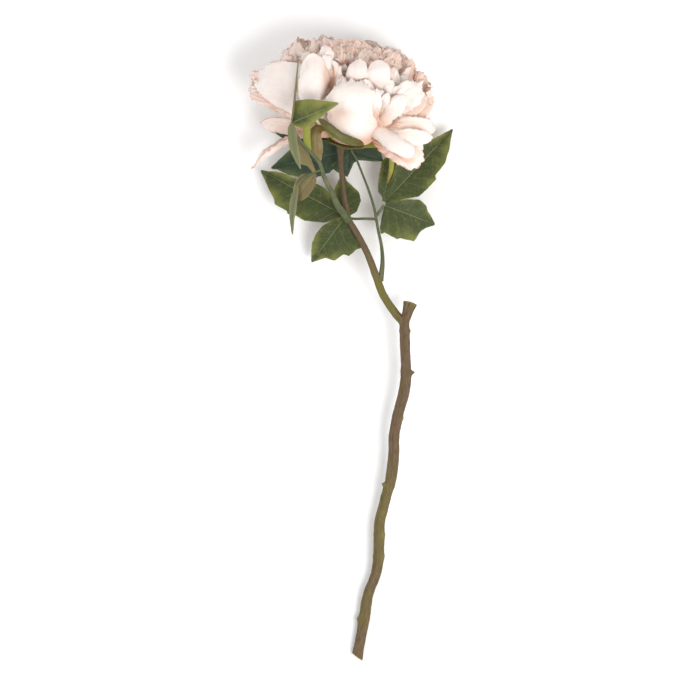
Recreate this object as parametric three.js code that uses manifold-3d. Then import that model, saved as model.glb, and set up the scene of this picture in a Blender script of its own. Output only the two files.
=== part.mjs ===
// A single artificial peony on a branched stem, lying on a flat surface.
// Millimetres, +Z up. +Y runs along the stem from its cut end to the bloom, and
// the origin is on the surface below the middle of the whole spray.

import * as THREE from 'three';
import { mergeVertices } from 'three/addons/utils/BufferGeometryUtils.js';
import Module from 'manifold-3d';

const wasm = await Module();
wasm.setup();

// ---------------------------------------------------------------- driving sizes

const GAP = 0.3;               // clearance between neighbouring pieces
const SEPAL_GAP = 0.6;         // clearance over the faces of the sepals
const PETAL_THICKNESS = 0.9;
const LEAF_THICKNESS = 0.9;

const STEM_RADIUS = 4.7;       // main stem
const BRANCH_RADIUS = 3.4;     // flower branch just above the fork
const NECK_RADIUS = 2.3;       // flower branch below the bloom
const STEM_END_HEIGHT = 4.5;   // centre of the cut end above the surface
const NECK_HEIGHT = 44;        // centre of the stem under the bloom

const BLOOM_BASE = new THREE.Vector3(-5.4, 186.3, NECK_HEIGHT);
const BLOOM_LEAN = 12;         // degrees the bloom leans to the right
const BLOOM_LIFT = 20;         // degrees its axis rises from the surface
// Heart of the bloom, where the petals root: radius and height along its axis.
const CORE_PROFILE = [[0, 46], [14, 44], [23, 34], [26, 22], [24, 9], [16, 1.5], [0, 1.5]];
const CUP_TOP = 1.2;           // rim of the green cup under the petals, along the axis

const PETAL_WIDEST = 0.62;      // where a petal is widest, as a share of its length
const PETAL_CLAW = 0.3;        // breadth at its root, as a share of the widest
const PETAL_TIP = 0.7;         // breadth at its tip, as a share of the widest
const RING_TURN = 24;          // degrees each ring of inner petals is turned from the last

const SEED = 7;

const rad = THREE.MathUtils.degToRad;
const lerp = THREE.MathUtils.lerp;
const vec = (x, y, z) => new THREE.Vector3(x, y, z);

function seededRandom(seed) {
  let state = seed >>> 0;
  return () => {
    state = (state + 0x6d2b79f5) >>> 0;
    let t = Math.imul(state ^ (state >>> 15), state | 1);
    t ^= t + Math.imul(t ^ (t >>> 7), t | 61);
    return ((t ^ (t >>> 14)) >>> 0) / 4294967296;
  };
}

// ------------------------------------------------------------------ solid tools

function toSolid(geometry) {
  geometry.deleteAttribute('normal');
  geometry.deleteAttribute('uv');
  const merged = mergeVertices(geometry, 1e-5);
  return new wasm.Manifold(new wasm.Mesh({
    numProp: 3,
    vertProperties: new Float32Array(merged.attributes.position.array),
    triVerts: new Uint32Array(merged.index.array),
  }));
}

function toGeometry(solid) {
  const mesh = solid.getMesh();
  const geometry = new THREE.BufferGeometry();
  geometry.setAttribute('position', new THREE.BufferAttribute(mesh.vertProperties, 3));
  geometry.setIndex(new THREE.BufferAttribute(mesh.triVerts, 1));
  geometry.computeVertexNormals();
  return geometry;
}

function joined(solids) {
  return solids.reduce((sum, solid) => sum.add(solid));
}

// The largest connected body: loose scraps go, and a sealed hollow is filled.
function largestBody(solid) {
  const bodies = solid.decompose();
  return bodies.reduce((best, body) => (body.volume() > best.volume() ? body : best));
}

function closedMesh(positions, indices) {
  const geometry = new THREE.BufferGeometry();
  geometry.setAttribute('position', new THREE.Float32BufferAttribute(positions, 3));
  geometry.setIndex(indices);
  return toSolid(geometry);
}

// A thin closed shell on both sides of a grid of points. Both faces are split
// into triangles along the same diagonals, and no point lies under the surface.
function shell(grid, thickness) {
  const rows = grid.length;
  const columns = grid[0].length;
  const at = (i, j) => grid[Math.min(Math.max(i, 0), rows - 1)][Math.min(Math.max(j, 0), columns - 1)];
  const positions = [];
  for (const side of [1, -1]) {
    for (let i = 0; i < rows; i++) {
      for (let j = 0; j < columns; j++) {
        const along = at(i + 1, j).clone().sub(at(i - 1, j));
        const across = at(i, j + 1).clone().sub(at(i, j - 1));
        const normal = along.cross(across).normalize();
        const point = at(i, j).clone().addScaledVector(normal, side * thickness / 2);
        point.z = Math.max(point.z, side * normal.z > 0 ? thickness : 0);
        positions.push(point.x, point.y, point.z);
      }
    }
  }
  const half = rows * columns;
  const id = (i, j, back) => i * columns + j + (back ? half : 0);
  const indices = [];
  for (let i = 0; i < rows - 1; i++) {
    for (let j = 0; j < columns - 1; j++) {
      const flip = (j < (columns - 1) / 2) === (i % 2 === 0);
      const [a, b, c, d] = [[i, j], [i + 1, j], [i + 1, j + 1], [i, j + 1]];
      const triangles = flip ? [[a, b, c], [a, c, d]] : [[a, b, d], [b, c, d]];
      for (const [p, q, r] of triangles) {
        indices.push(id(...p, false), id(...q, false), id(...r, false));
        indices.push(id(...p, true), id(...r, true), id(...q, true));
      }
    }
  }
  const rim = [];
  for (let j = 0; j < columns - 1; j++) rim.push([0, j]);
  for (let i = 0; i < rows - 1; i++) rim.push([i, columns - 1]);
  for (let j = columns - 1; j > 0; j--) rim.push([rows - 1, j]);
  for (let i = rows - 1; i > 0; i--) rim.push([i, 0]);
  rim.forEach((p, k) => {
    const q = rim[(k + 1) % rim.length];
    indices.push(id(...p, false), id(...q, false), id(...q, true));
    indices.push(id(...p, false), id(...q, true), id(...p, true));
  });
  return closedMesh(positions, indices);
}

// A closed round bar along a curve. radiusAt(t) gives its radius, lumpAt
// (t, angle) a relative swelling, and extra widens and lengthens it all over for
// cutting. No point lies under the surface.
function bar(curve, steps, sides, radiusAt, lumpAt = () => 0, extra = 0) {
  const frames = curve.computeFrenetFrames(steps, false);
  const positions = [];
  for (let i = 0; i <= steps; i++) {
    const t = i / steps;
    const centre = curve.getPointAt(t);
    if (i === 0) centre.addScaledVector(frames.tangents[i], -extra);
    if (i === steps) centre.addScaledVector(frames.tangents[i], extra);
    for (let j = 0; j < sides; j++) {
      const angle = j / sides * 2 * Math.PI;
      const radius = radiusAt(t) * (1 + lumpAt(t, angle)) + extra;
      const point = centre.clone();
      point.addScaledVector(frames.normals[i], radius * Math.cos(angle));
      point.addScaledVector(frames.binormals[i], radius * Math.sin(angle));
      positions.push(point.x, point.y, Math.max(point.z, 0));
    }
  }
  const ends = [curve.getPointAt(0), curve.getPointAt(1)];
  ends[0].addScaledVector(frames.tangents[0], -extra);
  ends[1].addScaledVector(frames.tangents[steps], extra);
  ends.forEach((end) => positions.push(end.x, end.y, Math.max(end.z, 0)));
  const first = (steps + 1) * sides;
  const indices = [];
  for (let j = 0; j < sides; j++) {
    const next = (j + 1) % sides;
    for (let i = 0; i < steps; i++) {
      const [a, b] = [i * sides + j, i * sides + next];
      indices.push(a, b, b + sides, a, b + sides, a + sides);
    }
    indices.push(first, next, j);
    indices.push(first + 1, steps * sides + j, steps * sides + next);
  }
  return closedMesh(positions, indices);
}

function curveThrough(points) {
  return new THREE.CatmullRomCurve3(points.map((p) => vec(...p)), false, 'centripetal');
}

// A value read from a short list of evenly spaced ones.
function sampled(values, t) {
  const place = THREE.MathUtils.clamp(t, 0, 1) * (values.length - 1);
  const index = Math.min(Math.floor(place), values.length - 2);
  return lerp(values[index], values[index + 1], place - index);
}

// ------------------------------------------------------------------------ petals

// The bloom's own axes: right, towards the viewer from above, and up its axis.
const lean = rad(BLOOM_LEAN);
const lift = rad(BLOOM_LIFT);
const bloomMatrix = new THREE.Matrix4().makeBasis(
  vec(Math.cos(lean), -Math.sin(lean), 0),
  vec(-Math.sin(lean) * Math.sin(lift), -Math.cos(lean) * Math.sin(lift), Math.cos(lift)),
  vec(Math.sin(lean) * Math.cos(lift), Math.cos(lean) * Math.cos(lift), Math.sin(lift)),
).setPosition(BLOOM_BASE);

// Breadth of a petal along its length: a narrow claw, widest past the middle.
function petalBreadth(u) {
  if (u < PETAL_WIDEST) return PETAL_CLAW + (1 - PETAL_CLAW) * Math.sin(u / PETAL_WIDEST * Math.PI / 2);
  return 1 - (1 - PETAL_TIP) * ((u - PETAL_WIDEST) / (1 - PETAL_WIDEST)) ** 2;
}

const SPINE_STEPS = 40;        // steps in which a petal's middle line is drawn

// A petal's surface, for those underneath and inside. azimuth places its root round the bloom's axis and yaw
// turns it from there; rise lists the angle from level at the root, the middle
// and the tip; cup is how far its half breadth bends round, in degrees.
function petalPoints(petal, rows, columns) {
  const { azimuth, yaw = 0, roll = 0, root, length, rise, width, cup } = petal;
  const { wave = 0, phase = 0, round = 0.2 } = petal;
  const heading = rad(azimuth + yaw);
  const outward = vec(Math.cos(heading), Math.sin(heading), 0);
  const level = vec(-Math.sin(heading), Math.cos(heading), 0);
  const side = level.clone();
  const up = vec(0, 0, 1);
  const twist = new THREE.Quaternion().setFromAxisAngle(
    outward.clone().multiplyScalar(Math.cos(rad(rise[0]))).addScaledVector(up, Math.sin(rad(rise[0]))),
    rad(roll),
  );
  const spine = [vec(root[0] * Math.cos(rad(azimuth)), root[0] * Math.sin(rad(azimuth)), root[1])];
  const tangents = [];
  for (let k = 0; k <= SPINE_STEPS; k++) {
    const u = k / SPINE_STEPS;
    const shares = [(1 - u) * (1 - 2 * u), 4 * u * (1 - u), u * (2 * u - 1)];
    const angle = rad(rise[0] * shares[0] + rise[1] * shares[1] + rise[2] * shares[2]);
    const tangent = outward.clone().multiplyScalar(Math.cos(angle)).addScaledVector(up, Math.sin(angle));
    tangent.applyQuaternion(twist);
    tangents.push(tangent);
    if (k < SPINE_STEPS) spine.push(spine[k].clone().addScaledVector(tangent, length / SPINE_STEPS));
  }
  side.applyQuaternion(twist);
  const at = (list, u) => {
    const place = THREE.MathUtils.clamp(u, 0, 1) * SPINE_STEPS;
    const k = Math.min(Math.floor(place), SPINE_STEPS - 1);
    return list[k].clone().lerp(list[k + 1], place - k);
  };
  const bendRadius = width / rad(cup);
  const grid = [];
  for (let i = 0; i < rows; i++) {
    const row = [];
    for (let j = 0; j < columns; j++) {
      const v = j / (columns - 1) * 2 - 1;
      const u = i / (rows - 1) * (1 - round * v * v);
      const tangent = at(tangents, u).normalize();
      const normal = tangent.clone().cross(side).normalize();
      const bend = v * petalBreadth(u) * rad(cup);
      const ruffle = wave * u * u * Math.sin(2 * Math.PI * v + phase) * (0.35 + 0.65 * Math.abs(v));
      const point = at(spine, u);
      point.addScaledVector(side, bendRadius * Math.sin(bend));
      point.addScaledVector(normal, bendRadius * (1 - Math.cos(bend)) + ruffle);
      row.push(point);
    }
    grid.push(row);
  }
  return grid;
}

// A petal as a solid, set on the bloom.
function petalSolid(petal, rows, columns) {
  const grid = petalPoints(petal, rows, columns);
  return shell(grid.map((row) => row.map((point) => point.applyMatrix4(bloomMatrix))), PETAL_THICKNESS);
}

// The outer petals underneath and behind, and two loose strips. Azimuth 0 is the
// right, 90 faces up from the surface, 180 the left and 270 the surface itself.
const GUARD_PETALS = [
  { azimuth: 352, yaw: 6, root: [8, 8], length: 91, rise: [8, 46, 104], width: 36, cup: 40, wave: 2,
    phase: 2 },
  { azimuth: 320, yaw: 12, root: [8, 6], length: 96, rise: [0, 46, 104], width: 38, cup: 36, wave: 2,
    phase: 4 },
  { azimuth: 281, yaw: 12, root: [9, 7], length: 106, rise: [0, 49, 104], width: 38, cup: 32, wave: 2,
    phase: 1, columns: 6 },
  { azimuth: 242, yaw: 12, root: [9, 6], length: 104, rise: [0, 50, 105], width: 38, cup: 32, wave: 2,
    phase: 3, columns: 6 },
  { azimuth: 206, yaw: 12, root: [9, 6], length: 104, rise: [4, 48, 102], width: 40, cup: 36, wave: 2,
    phase: 5 },
  { azimuth: 186, roll: -70, root: [12, 4], length: 68, rise: [-6, -2, 0], width: 9, cup: 30, wave: 1 },
  { azimuth: 178, root: [10, 7], length: 86, rise: [0, -43, -38], width: 9, cup: 130 },
];

// Rings of shorter petals towards the heart, at a regular turn with a seeded
// variation. Each lists how many there are and the middle of its range.
const INNER_RINGS = [
  { count: 8, root: [14, 14], length: 78, rise: [26, 74, 96], width: 26, cup: 30, yaw: 16,
    rows: 5, columns: 4 },
  { count: 6, root: [12, 22], length: 58, rise: [42, 80, 98], width: 20, cup: 34, yaw: 18,
    rows: 4, columns: 4 },
  { count: 5, root: [6, 30], length: 38, rise: [56, 84, 100], width: 14, cup: 40, yaw: 20,
    rows: 4, columns: 4 },
];

function innerPetals() {
  const random = seededRandom(SEED);
  const vary = (size) => (random() * 2 - 1) * size;
  const petals = [];
  INNER_RINGS.forEach((ring, number) => {
    for (let i = 0; i < ring.count; i++) {
      petals.push({
        azimuth: i / ring.count * 360 + number * RING_TURN + vary(4),
        yaw: ring.yaw + vary(4),
        roll: vary(4),
        root: ring.root,
        length: ring.length * (1 + vary(0.07)),
        rise: ring.rise.map((angle) => angle + vary(3)),
        width: ring.width * (1 + vary(0.1)),
        cup: ring.cup + vary(4),
        wave: 1.2 + vary(0.6),
        phase: vary(Math.PI),
        rows: ring.rows,
        columns: ring.columns,
      });
    }
  });
  return petals;
}

// A body turned about the bloom's axis, wider by `extra` for cutting.
function turned(profile, sides, extra = 0) {
  const grown = profile.map(([r, h]) => new THREE.Vector2(r && r + extra, h + (h > 0 ? extra : -extra)));
  const body = new THREE.LatheGeometry(grown, sides);
  body.rotateX(Math.PI / 2);
  body.applyMatrix4(bloomMatrix);
  return toSolid(body);
}

// Shapes that follow a spine of their own. Its points are given where they are
// seen from far above, and drawn in towards the middle by their height.
const EYE_HEIGHT = 4440;
const EYE_PLANE = 40;          // the height at which a point is where it is seen

function seenAt([x, y, z]) {
  const share = (EYE_HEIGHT - z) / (EYE_HEIGHT - EYE_PLANE);
  return vec(x * share, y * share, z);
}

// left and right list half-widths along the spine. The wider half bends round by
// `cup` degrees, forwards or, where it is negative, backwards. extra widens and
// lengthens the shape for cutting.
function laidPoints(shape, rows, columns, extra = 0) {
  const { spine, left, right, cup = -40, round = 0.15, wave = 0, phase = 0 } = shape;
  const curve = new THREE.CatmullRomCurve3(spine.map(seenAt), false, 'centripetal');
  const widest = Math.max(...left, ...right);
  const bendRadius = widest / rad(cup);
  const grid = [];
  for (let i = 0; i < rows; i++) {
    const row = [];
    for (let j = 0; j < columns; j++) {
      const v = j / (columns - 1) * 2 - 1;
      const u = i / (rows - 1) * (1 - round * Math.abs(v) ** 2.2);
      const tangent = curve.getTangentAt(u);
      const side = tangent.clone().cross(vec(0, 0, 1)).normalize();
      const normal = side.clone().cross(tangent);
      const bend = v * (sampled(v < 0 ? left : right, u) + extra) / bendRadius;
      const ruffle = wave * u * u * Math.sin(2 * Math.PI * v + phase) * Math.abs(v);
      const point = curve.getPointAt(u);
      point.addScaledVector(side, bendRadius * Math.sin(bend));
      point.addScaledVector(normal, bendRadius * (1 - Math.cos(bend)) + ruffle);
      if (i === 0) point.addScaledVector(tangent, -extra);
      if (i === rows - 1) point.addScaledVector(tangent, extra);
      row.push(point);
    }
    grid.push(row);
  }
  return grid;
}

// The petals that face up, from the left round to the right, then those in the
// middle of the bloom.
const FRONT_PETALS = [
  { spine: [[-14, 201, 56], [-34, 214, 76], [-54, 229, 84], [-72, 239, 76], [-86, 244, 60]],
    left: [8, 18, 24, 23, 13], right: [8, 20, 30, 25, 10] },
  { spine: [[-14, 196, 46], [-45, 217, 58], [-72, 229, 58], [-91, 237, 50]],
    left: [8, 20, 25, 17], right: [8, 20, 23, 19], cup: -25 },
  { spine: [[-10, 192, 62], [-24, 209, 90], [-33, 229, 103], [-34, 249, 103], [-33, 266, 92]],
    left: [8, 16, 18, 17, 14], right: [8, 16, 19, 19, 16], cup: -75 },
  { spine: [[10, 187, 62], [6, 197, 90], [4, 211, 110], [3, 225, 121], [2, 236, 119], [2, 244, 108]],
    left: [4, 9, 24, 33, 32, 22], right: [5, 12, 26, 33, 30, 20], cup: -70, round: 0.1 },
  { spine: [[12, 204, 64], [25, 197, 86], [42, 185, 104], [57, 175, 103]],
    left: [9, 14, 14, 11], right: [8, 13, 14, 11], cup: -85, round: 0.08 },
  { spine: [[18, 196, 60], [34, 184, 74], [50, 174, 75], [64, 166, 66]],
    left: [8, 18, 24, 21], right: [4, 9, 10, 9], cup: -30 },
  { spine: [[14, 206, 66], [44, 204, 92], [60, 202, 90], [76, 198, 82]],
    left: [3, 5, 8, 8], right: [3, 9, 11, 9], cup: 24 },
  { spine: [[14, 202, 64], [47, 194, 97], [62, 192, 97], [75, 191, 88]],
    left: [3, 5, 6, 6], right: [3, 8, 10, 7], cup: -34 },
  { spine: [[12, 208, 66], [44, 226, 103], [56, 234, 102], [65, 240, 90]],
    left: [6, 9, 12, 9], right: [8, 14, 15, 11], cup: -32 },
  { spine: [[14, 200, 58], [46, 209, 82], [62, 216, 80], [71, 222, 72]],
    left: [6, 8, 9, 9], right: [5, 8, 10, 9], cup: -30 },
  { spine: [[5, 216, 70], [6, 232, 96], [7, 250, 106], [9, 263, 97]],
    left: [6, 10, 12, 9], right: [6, 9, 11, 8], cup: -50 },
  { spine: [[12, 212, 64], [23, 230, 96], [25, 249, 106], [25, 262, 98]],
    left: [7, 10, 12, 9], right: [7, 10, 12, 10], cup: -45 },
  { spine: [[-16, 214, 70], [-21, 246, 90], [-22, 257, 93], [-23, 267, 88]],
    left: [5, 8, 9, 8], right: [5, 8, 10, 9], cup: -50 },
];

// The petals round the top of the bloom, from the left to the right.
const BACK_PETALS = [
  { spine: [[-14, 214, 54], [-42, 252, 70], [-48, 267, 64], [-51, 279, 55]],
    left: [6, 11, 12, 8], right: [6, 11, 11, 7] },
  { spine: [[-14, 210, 50], [-52, 243, 60], [-64, 253, 56], [-74, 259, 47]],
    left: [6, 11, 12, 8], right: [6, 11, 12, 8] },
  { spine: [[-8, 220, 56], [-22, 260, 70], [-23, 273, 66], [-23, 283, 57]],
    left: [5, 7, 7, 4], right: [5, 7, 8, 6] },
  { spine: [[0, 220, 54], [-2, 258, 70], [-1, 271, 65], [0, 281, 54]],
    left: [8, 17, 21, 20], right: [8, 16, 20, 17], cup: 30 },
  { spine: [[6, 219, 54], [21, 254, 70], [24, 265, 66], [25, 273, 56]],
    left: [6, 10, 12, 10], right: [6, 10, 12, 10] },
  { spine: [[8, 217, 54], [31, 250, 68], [38, 261, 62], [42, 269, 52]],
    left: [6, 11, 12, 9], right: [6, 11, 12, 9] },
  { spine: [[10, 214, 52], [39, 241, 66], [50, 253, 59], [57, 261, 49]],
    left: [6, 12, 13, 10], right: [6, 12, 13, 10] },
  { spine: [[12, 210, 50], [47, 233, 63], [60, 242, 57], [69, 247, 47]],
    left: [6, 12, 13, 10], right: [6, 12, 13, 10] },
  { spine: [[12, 206, 48], [50, 221, 60], [64, 228, 55], [73, 230, 46]],
    left: [6, 12, 14, 11], right: [6, 12, 13, 11] },
];
const LAID_WAVE = 1.2;         // how far their edges wave
const LAID_GRID = [5, 5];      // rows and columns of points on each
const GUARD_GRID = [6, 5];     // the same for the outer petals underneath

function laidPetal(petal, index) {
  return shell(laidPoints({ wave: LAID_WAVE, phase: index, ...petal }, ...LAID_GRID), PETAL_THICKNESS);
}

function guardPetal(petal) {
  return petalSolid(petal, GUARD_GRID[0], petal.columns ?? GUARD_GRID[1]);
}

// An inner petal on the side that the placed front petals fill.
function facesUp(petal) {
  const heading = (petal.azimuth + petal.yaw + 360) % 360;
  return heading > 20 && heading < 170;
}

function bloomSolid() {
  const inner = innerPetals().filter((petal) => !facesUp(petal));
  const petals = [
    ...GUARD_PETALS.map(guardPetal),
    ...FRONT_PETALS.map(laidPetal),
    ...BACK_PETALS.map(laidPetal),
    ...inner.map((petal) => petalSolid(petal, petal.rows, petal.columns)),
  ];
  return joined([turned(CORE_PROFILE, 10), ...petals]);
}

// ------------------------------------------------------------------------- stem

// Centre line of the main stem from the cut end to the fork, seen from above.
const STEM_LINE = [
  [5.4, -278.1], [11.7, -244.8], [15.3, -222.3], [22.5, -203.4], [24.75, -189.9],
  [25.65, -167.4], [26.1, -155.7], [29.7, -141.3], [32.4, -130.5], [35.55, -118.8],
  [37.8, -102.6], [38.7, -90], [38.7, -79.2], [40.5, -67.5], [43.2, -54.9],
  [46.8, -42.3], [49.05, -29.7], [49.5, -17.1], [49.05, -0.9], [48.6, 14.4], [47.7, 25.2],
];
const STUB_LINE = [[47.7, 25.2], [50.9, 34], [53.4, 43]];
const BRANCH_LINE = [
  [47.7, 25.2], [40.4, 32.5], [34, 41.4], [28.35, 50.9], [24.3, 61.4], [17.6, 80.3],
  [12.3, 92.2], [5.8, 104.7], [-1.5, 117.2], [-3.6, 125.1], [-6.1, 138.3],
  [-8.1, 154.2], [-9.1, 167.4], [-9.4, 180.6], [-8.6, 187],
];
const STEM_START = STEM_LINE[0][1];
const NECK_END = BRANCH_LINE[BRANCH_LINE.length - 1][1];

// The whole stem rises evenly from its cut end to the bloom.
const stemHeight = (y) => lerp(STEM_END_HEIGHT, NECK_HEIGHT, (y - STEM_START) / (NECK_END - STEM_START));
const raised = (line) => line.map(([x, y]) => [x, y, stemHeight(y)]);

const stemCurve = curveThrough(raised(STEM_LINE));
const branchCurve = curveThrough(raised(BRANCH_LINE));
const stubCurve = curveThrough(raised(STUB_LINE));

// Old leaf scars that swell the stem: place along it, side, and size.
const SCARS = [
  { curve: stemCurve, at: 0.905, turn: 0, size: 3.4 },
  { curve: stemCurve, at: 0.125, turn: 180, size: 2.8 },
  { curve: stemCurve, at: 0.555, turn: 180, size: 3 },
  { curve: stemCurve, at: 0.3, turn: 20, size: 2.4 },
];
const SCAR_OUT = 0.72;         // share of the stem's radius where a scar is centred

const barkLumps = (t, angle) => 0.05 * Math.sin(37 * t + 2 * angle) + 0.04 * Math.sin(71 * t - 3 * angle);

function scarSolid({ curve, at, turn, size }) {
  const scar = new THREE.IcosahedronGeometry(size, 1);
  const centre = curve.getPointAt(at);
  const offset = STEM_RADIUS * SCAR_OUT;
  scar.translate(centre.x + offset * Math.cos(rad(turn)), centre.y, centre.z + offset * Math.sin(rad(turn)));
  return toSolid(scar);
}

// The flower branch with its own radius, or wider by `extra` for cutting.
function branchSolid(extra = 0) {
  const radii = [BRANCH_RADIUS * 1.15, BRANCH_RADIUS, BRANCH_RADIUS * 0.97, BRANCH_RADIUS * 0.86,
    NECK_RADIUS * 1.1, NECK_RADIUS * 0.95, NECK_RADIUS * 1.1, NECK_RADIUS * 2];
  return bar(branchCurve, 24, 7, (t) => sampled(radii, t), barkLumps, extra);
}

function stemSolid() {
  const radii = [1, 1.02, 0.97, 1.05, 0.98, 1.06, 0.98, 1.02, 0.95, 0.93].map((r) => r * STEM_RADIUS);
  const stubRadii = [STEM_RADIUS * 0.85, STEM_RADIUS * 0.8, STEM_RADIUS * 0.95, STEM_RADIUS * 1.25];
  const twoLobes = (t, angle) => 0.14 * t * Math.cos(2 * angle);
  return joined([
    bar(stemCurve, 36, 8, (t) => sampled(radii, t), barkLumps),
    bar(stubCurve, 5, 8, (t) => sampled(stubRadii, t), twoLobes),
    branchSolid(),
    ...SCARS.map(scarSolid),
  ]);
}

// --------------------------------------------------------------------- leaf parts

const CLOSEST_STATIONS = 1.5;  // closer corners of a blade's two sides share one cross-section

// A leaf blade from its base to its tip. left and right list [distance along,
// half width] on each side; fold lifts the edges, arch bows the middle rib, roll
// turns the blade about it and wave bends its edges up and down.
function bladePoints(blade) {
  const { base, tip, left, right, fold = 0, arch = 0, roll = 0, wave = 0, phase = 0 } = blade;
  const start = vec(...base);
  const axis = vec(...tip).sub(start);
  const length = axis.length();
  axis.normalize();
  const flat = vec(-axis.y, axis.x, 0).normalize();
  const turn = new THREE.Quaternion().setFromAxisAngle(axis, rad(roll));
  const across = flat.applyQuaternion(turn);
  const normal = axis.clone().cross(across).normalize();
  const ends = (side) => [[0, 1.6], ...side.filter(([s]) => s > 1), [length, 0.7]];
  const sides = [ends(left), ends(right)];
  const widthAt = (side, s) => {
    const next = side.findIndex(([place]) => place >= s);
    if (next <= 0) return side[0][1];
    const [a, b] = [side[next - 1], side[next]];
    return lerp(a[1], b[1], (s - a[0]) / Math.max(b[0] - a[0], 1e-6));
  };
  const places = [...new Set(sides.flat().map(([s]) => s))];
  const stations = places.filter((s) => s <= length).sort((a, b) => a - b);
  const last = stations.length - 1;
  const spaced = stations.filter((s, i) => i === 0 || i === last || s - stations[i - 1] > CLOSEST_STATIONS);
  return spaced.map((s) => {
    const t = s / length;
    const widths = [widthAt(sides[0], s), widthAt(sides[1], s)];
    return [-1, 0, 1].map((v) => {
      const w = v > 0 ? widths[0] * v : widths[1] * v;
      const rise = fold * Math.abs(w) + arch * 4 * t * (1 - t)
        + wave * Math.sin(5 * Math.PI * t + phase + v) * Math.abs(v) * Math.sin(Math.PI * t);
      return start.clone().addScaledVector(axis, s).addScaledVector(across, w).addScaledVector(normal, rise);
    });
  });
}

const bladeSolid = (blade) => shell(bladePoints(blade), LEAF_THICKNESS);

// The lower leaf stalk leaves the branch near the fork and passes under it.
const LOWER_STALK = [
  [26.6, 62, 33], [28.4, 79.2, 32.5], [27.5, 93.6, 32], [24.8, 106.7, 31.5], [22.9, 117.3, 31],
  [20.9, 127.8, 31], [16.9, 141.3, 31], [11, 156.9, 31.2], [4.4, 172.8, 31.3], [0, 180, 31.2],
];
const LEFT_SIDE_STALK = [[22.9, 118, 31], [12, 118.4, 30.5], [2, 118.4, 30], [-4.5, 120, 29.5]];
const RIGHT_SIDE_STALK = [[22.2, 120, 31], [26, 125, 31], [29.5, 130.5, 30.5]];

function stalkSolid(points, radii, steps, extra = 0) {
  return bar(curveThrough(points), steps, 6, (t) => sampled(radii, t), undefined, extra);
}

function lowerStalk(extra = 0) {
  return joined([
    stalkSolid(LOWER_STALK, [2.8, 2, 1.6, 1.4, 1.3, 1.15, 1.1, 1.1], 20, extra),
    stalkSolid(LEFT_SIDE_STALK, [1.3, 1.15, 1.15], 7, extra),
    stalkSolid(RIGHT_SIDE_STALK, [1.4, 1.3], 4, extra),
  ]);
}

const LEFT_LEAF = [
  { base: [-5.4, 120.6, 29], tip: [-81.5, 162.5, 13], fold: 0.16, arch: 4, wave: 1.2,
    left: [[13, 14], [29, 21], [38, 21], [46, 23], [48, 21], [61, 21], [64, 17], [72, 12]],
    right: [[12, 10], [31, 14], [46, 12], [58, 8], [65, 8], [74, 6], [81, 3]] },
  { base: [-5.4, 119.7, 29], tip: [-35.6, 79.7, 14], fold: 0.14, arch: 3, wave: 1.2, phase: 2,
    left: [[3, 18], [7, 29], [13, 28], [15, 26], [25, 24], [27, 19], [37, 16], [40, 8]],
    right: [[6, 6], [12, 9], [19, 12], [28, 12], [37, 10]] },
  { base: [-3.6, 120.6, 28.5], tip: [-7.2, 160.2, 22], fold: 0.12, arch: 1,
    left: [[11, 7], [24, 10]],
    right: [[3, 9], [13, 14], [20, 13], [23, 11], [32, 3]] },
];
const RIGHT_LEAF = [
  { base: [30.6, 133.2, 30], tip: [91.8, 199.8, 14], fold: 0.16, arch: 4, wave: 1.2, phase: 1,
    left: [[14, 7], [31, 16], [50, 18], [62, 14], [72, 7]],
    right: [[15, 12], [24, 19], [34, 20], [46, 20], [48, 17], [63, 16], [76, 10], [84, 5]] },
  { base: [30.6, 130.5, 30], tip: [75.6, 113.4, 20], fold: 0.14, arch: 3, wave: 1.2, phase: 3,
    left: [[5, 6], [16, 12], [27, 16], [35, 13], [38, 9], [43, 6]],
    right: [[2, 20], [5, 26], [8, 23], [20, 25], [22, 23], [36, 21], [38, 11], [42, 6]] },
  { base: [29.7, 134.1, 30], tip: [36.9, 178.2, 24], fold: 0.12, arch: 2,
    left: [[3, 2], [8, 7], [18, 8], [35, 8]],
    right: [[11, 6], [25, 8], [38, 6]] },
];
const BACK_LEAF = [
  { base: [-1.8, 180, 29], tip: [-72, 164.7, 16], fold: 0.12, arch: 3, wave: 1,
    left: [[21, 16], [38, 18], [58, 10], [67, 3]],
    right: [[10, 11], [25, 16], [42, 16], [51, 13], [62, 7]] },
  { base: [-1.8, 180, 29], tip: [-3.6, 156.6, 25], fold: 0.1, arch: 1,
    left: [[6, 12], [11, 5]],
    right: [[15, 16], [20, 10]] },
  { base: [-1.8, 180, 29], tip: [28.8, 171, 25], fold: 0.1, arch: 1,
    left: [[9, 12], [20, 14], [28, 7]],
    right: [[11, 6], [21, 4]] },
  { base: [-1.8, 180, 28.5], tip: [-81, 206, 9], fold: 0.05, arch: -4,
    left: [[20, 5], [40, 8], [62, 8], [76, 4]],
    right: [[20, 5], [40, 8], [62, 7], [76, 4]] },
];

// The upper leaf stalk springs from the front of the branch and climbs past the
// bloom. One leaflet lies over the petals, the others hang beside it.
const UPPER_STALK = [
  [-2.2, 116.5, 40.5], [-5.6, 121.6, 44.5], [-11.4, 129, 50], [-17.1, 141.3, 60], [-23.4, 153, 72],
  [-28.3, 167, 84], [-34.5, 173.9, 92], [-43, 183.6, 101], [-49.4, 193, 108], [-51.9, 200, 112],
];
const UPPER_SIDE_STALK = [[-26.4, 161, 79], [-33.8, 157.8, 80], [-41.4, 153.9, 80], [-48, 147, 78]];

function upperStalk(extra = 0) {
  return joined([
    stalkSolid(UPPER_STALK, [3.6, 3, 2.4, 2, 1.7, 1.4, 1.2, 1.1], 18, extra),
    stalkSolid(UPPER_SIDE_STALK, [1.1, 1, 1], 6, extra),
  ]);
}

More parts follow.
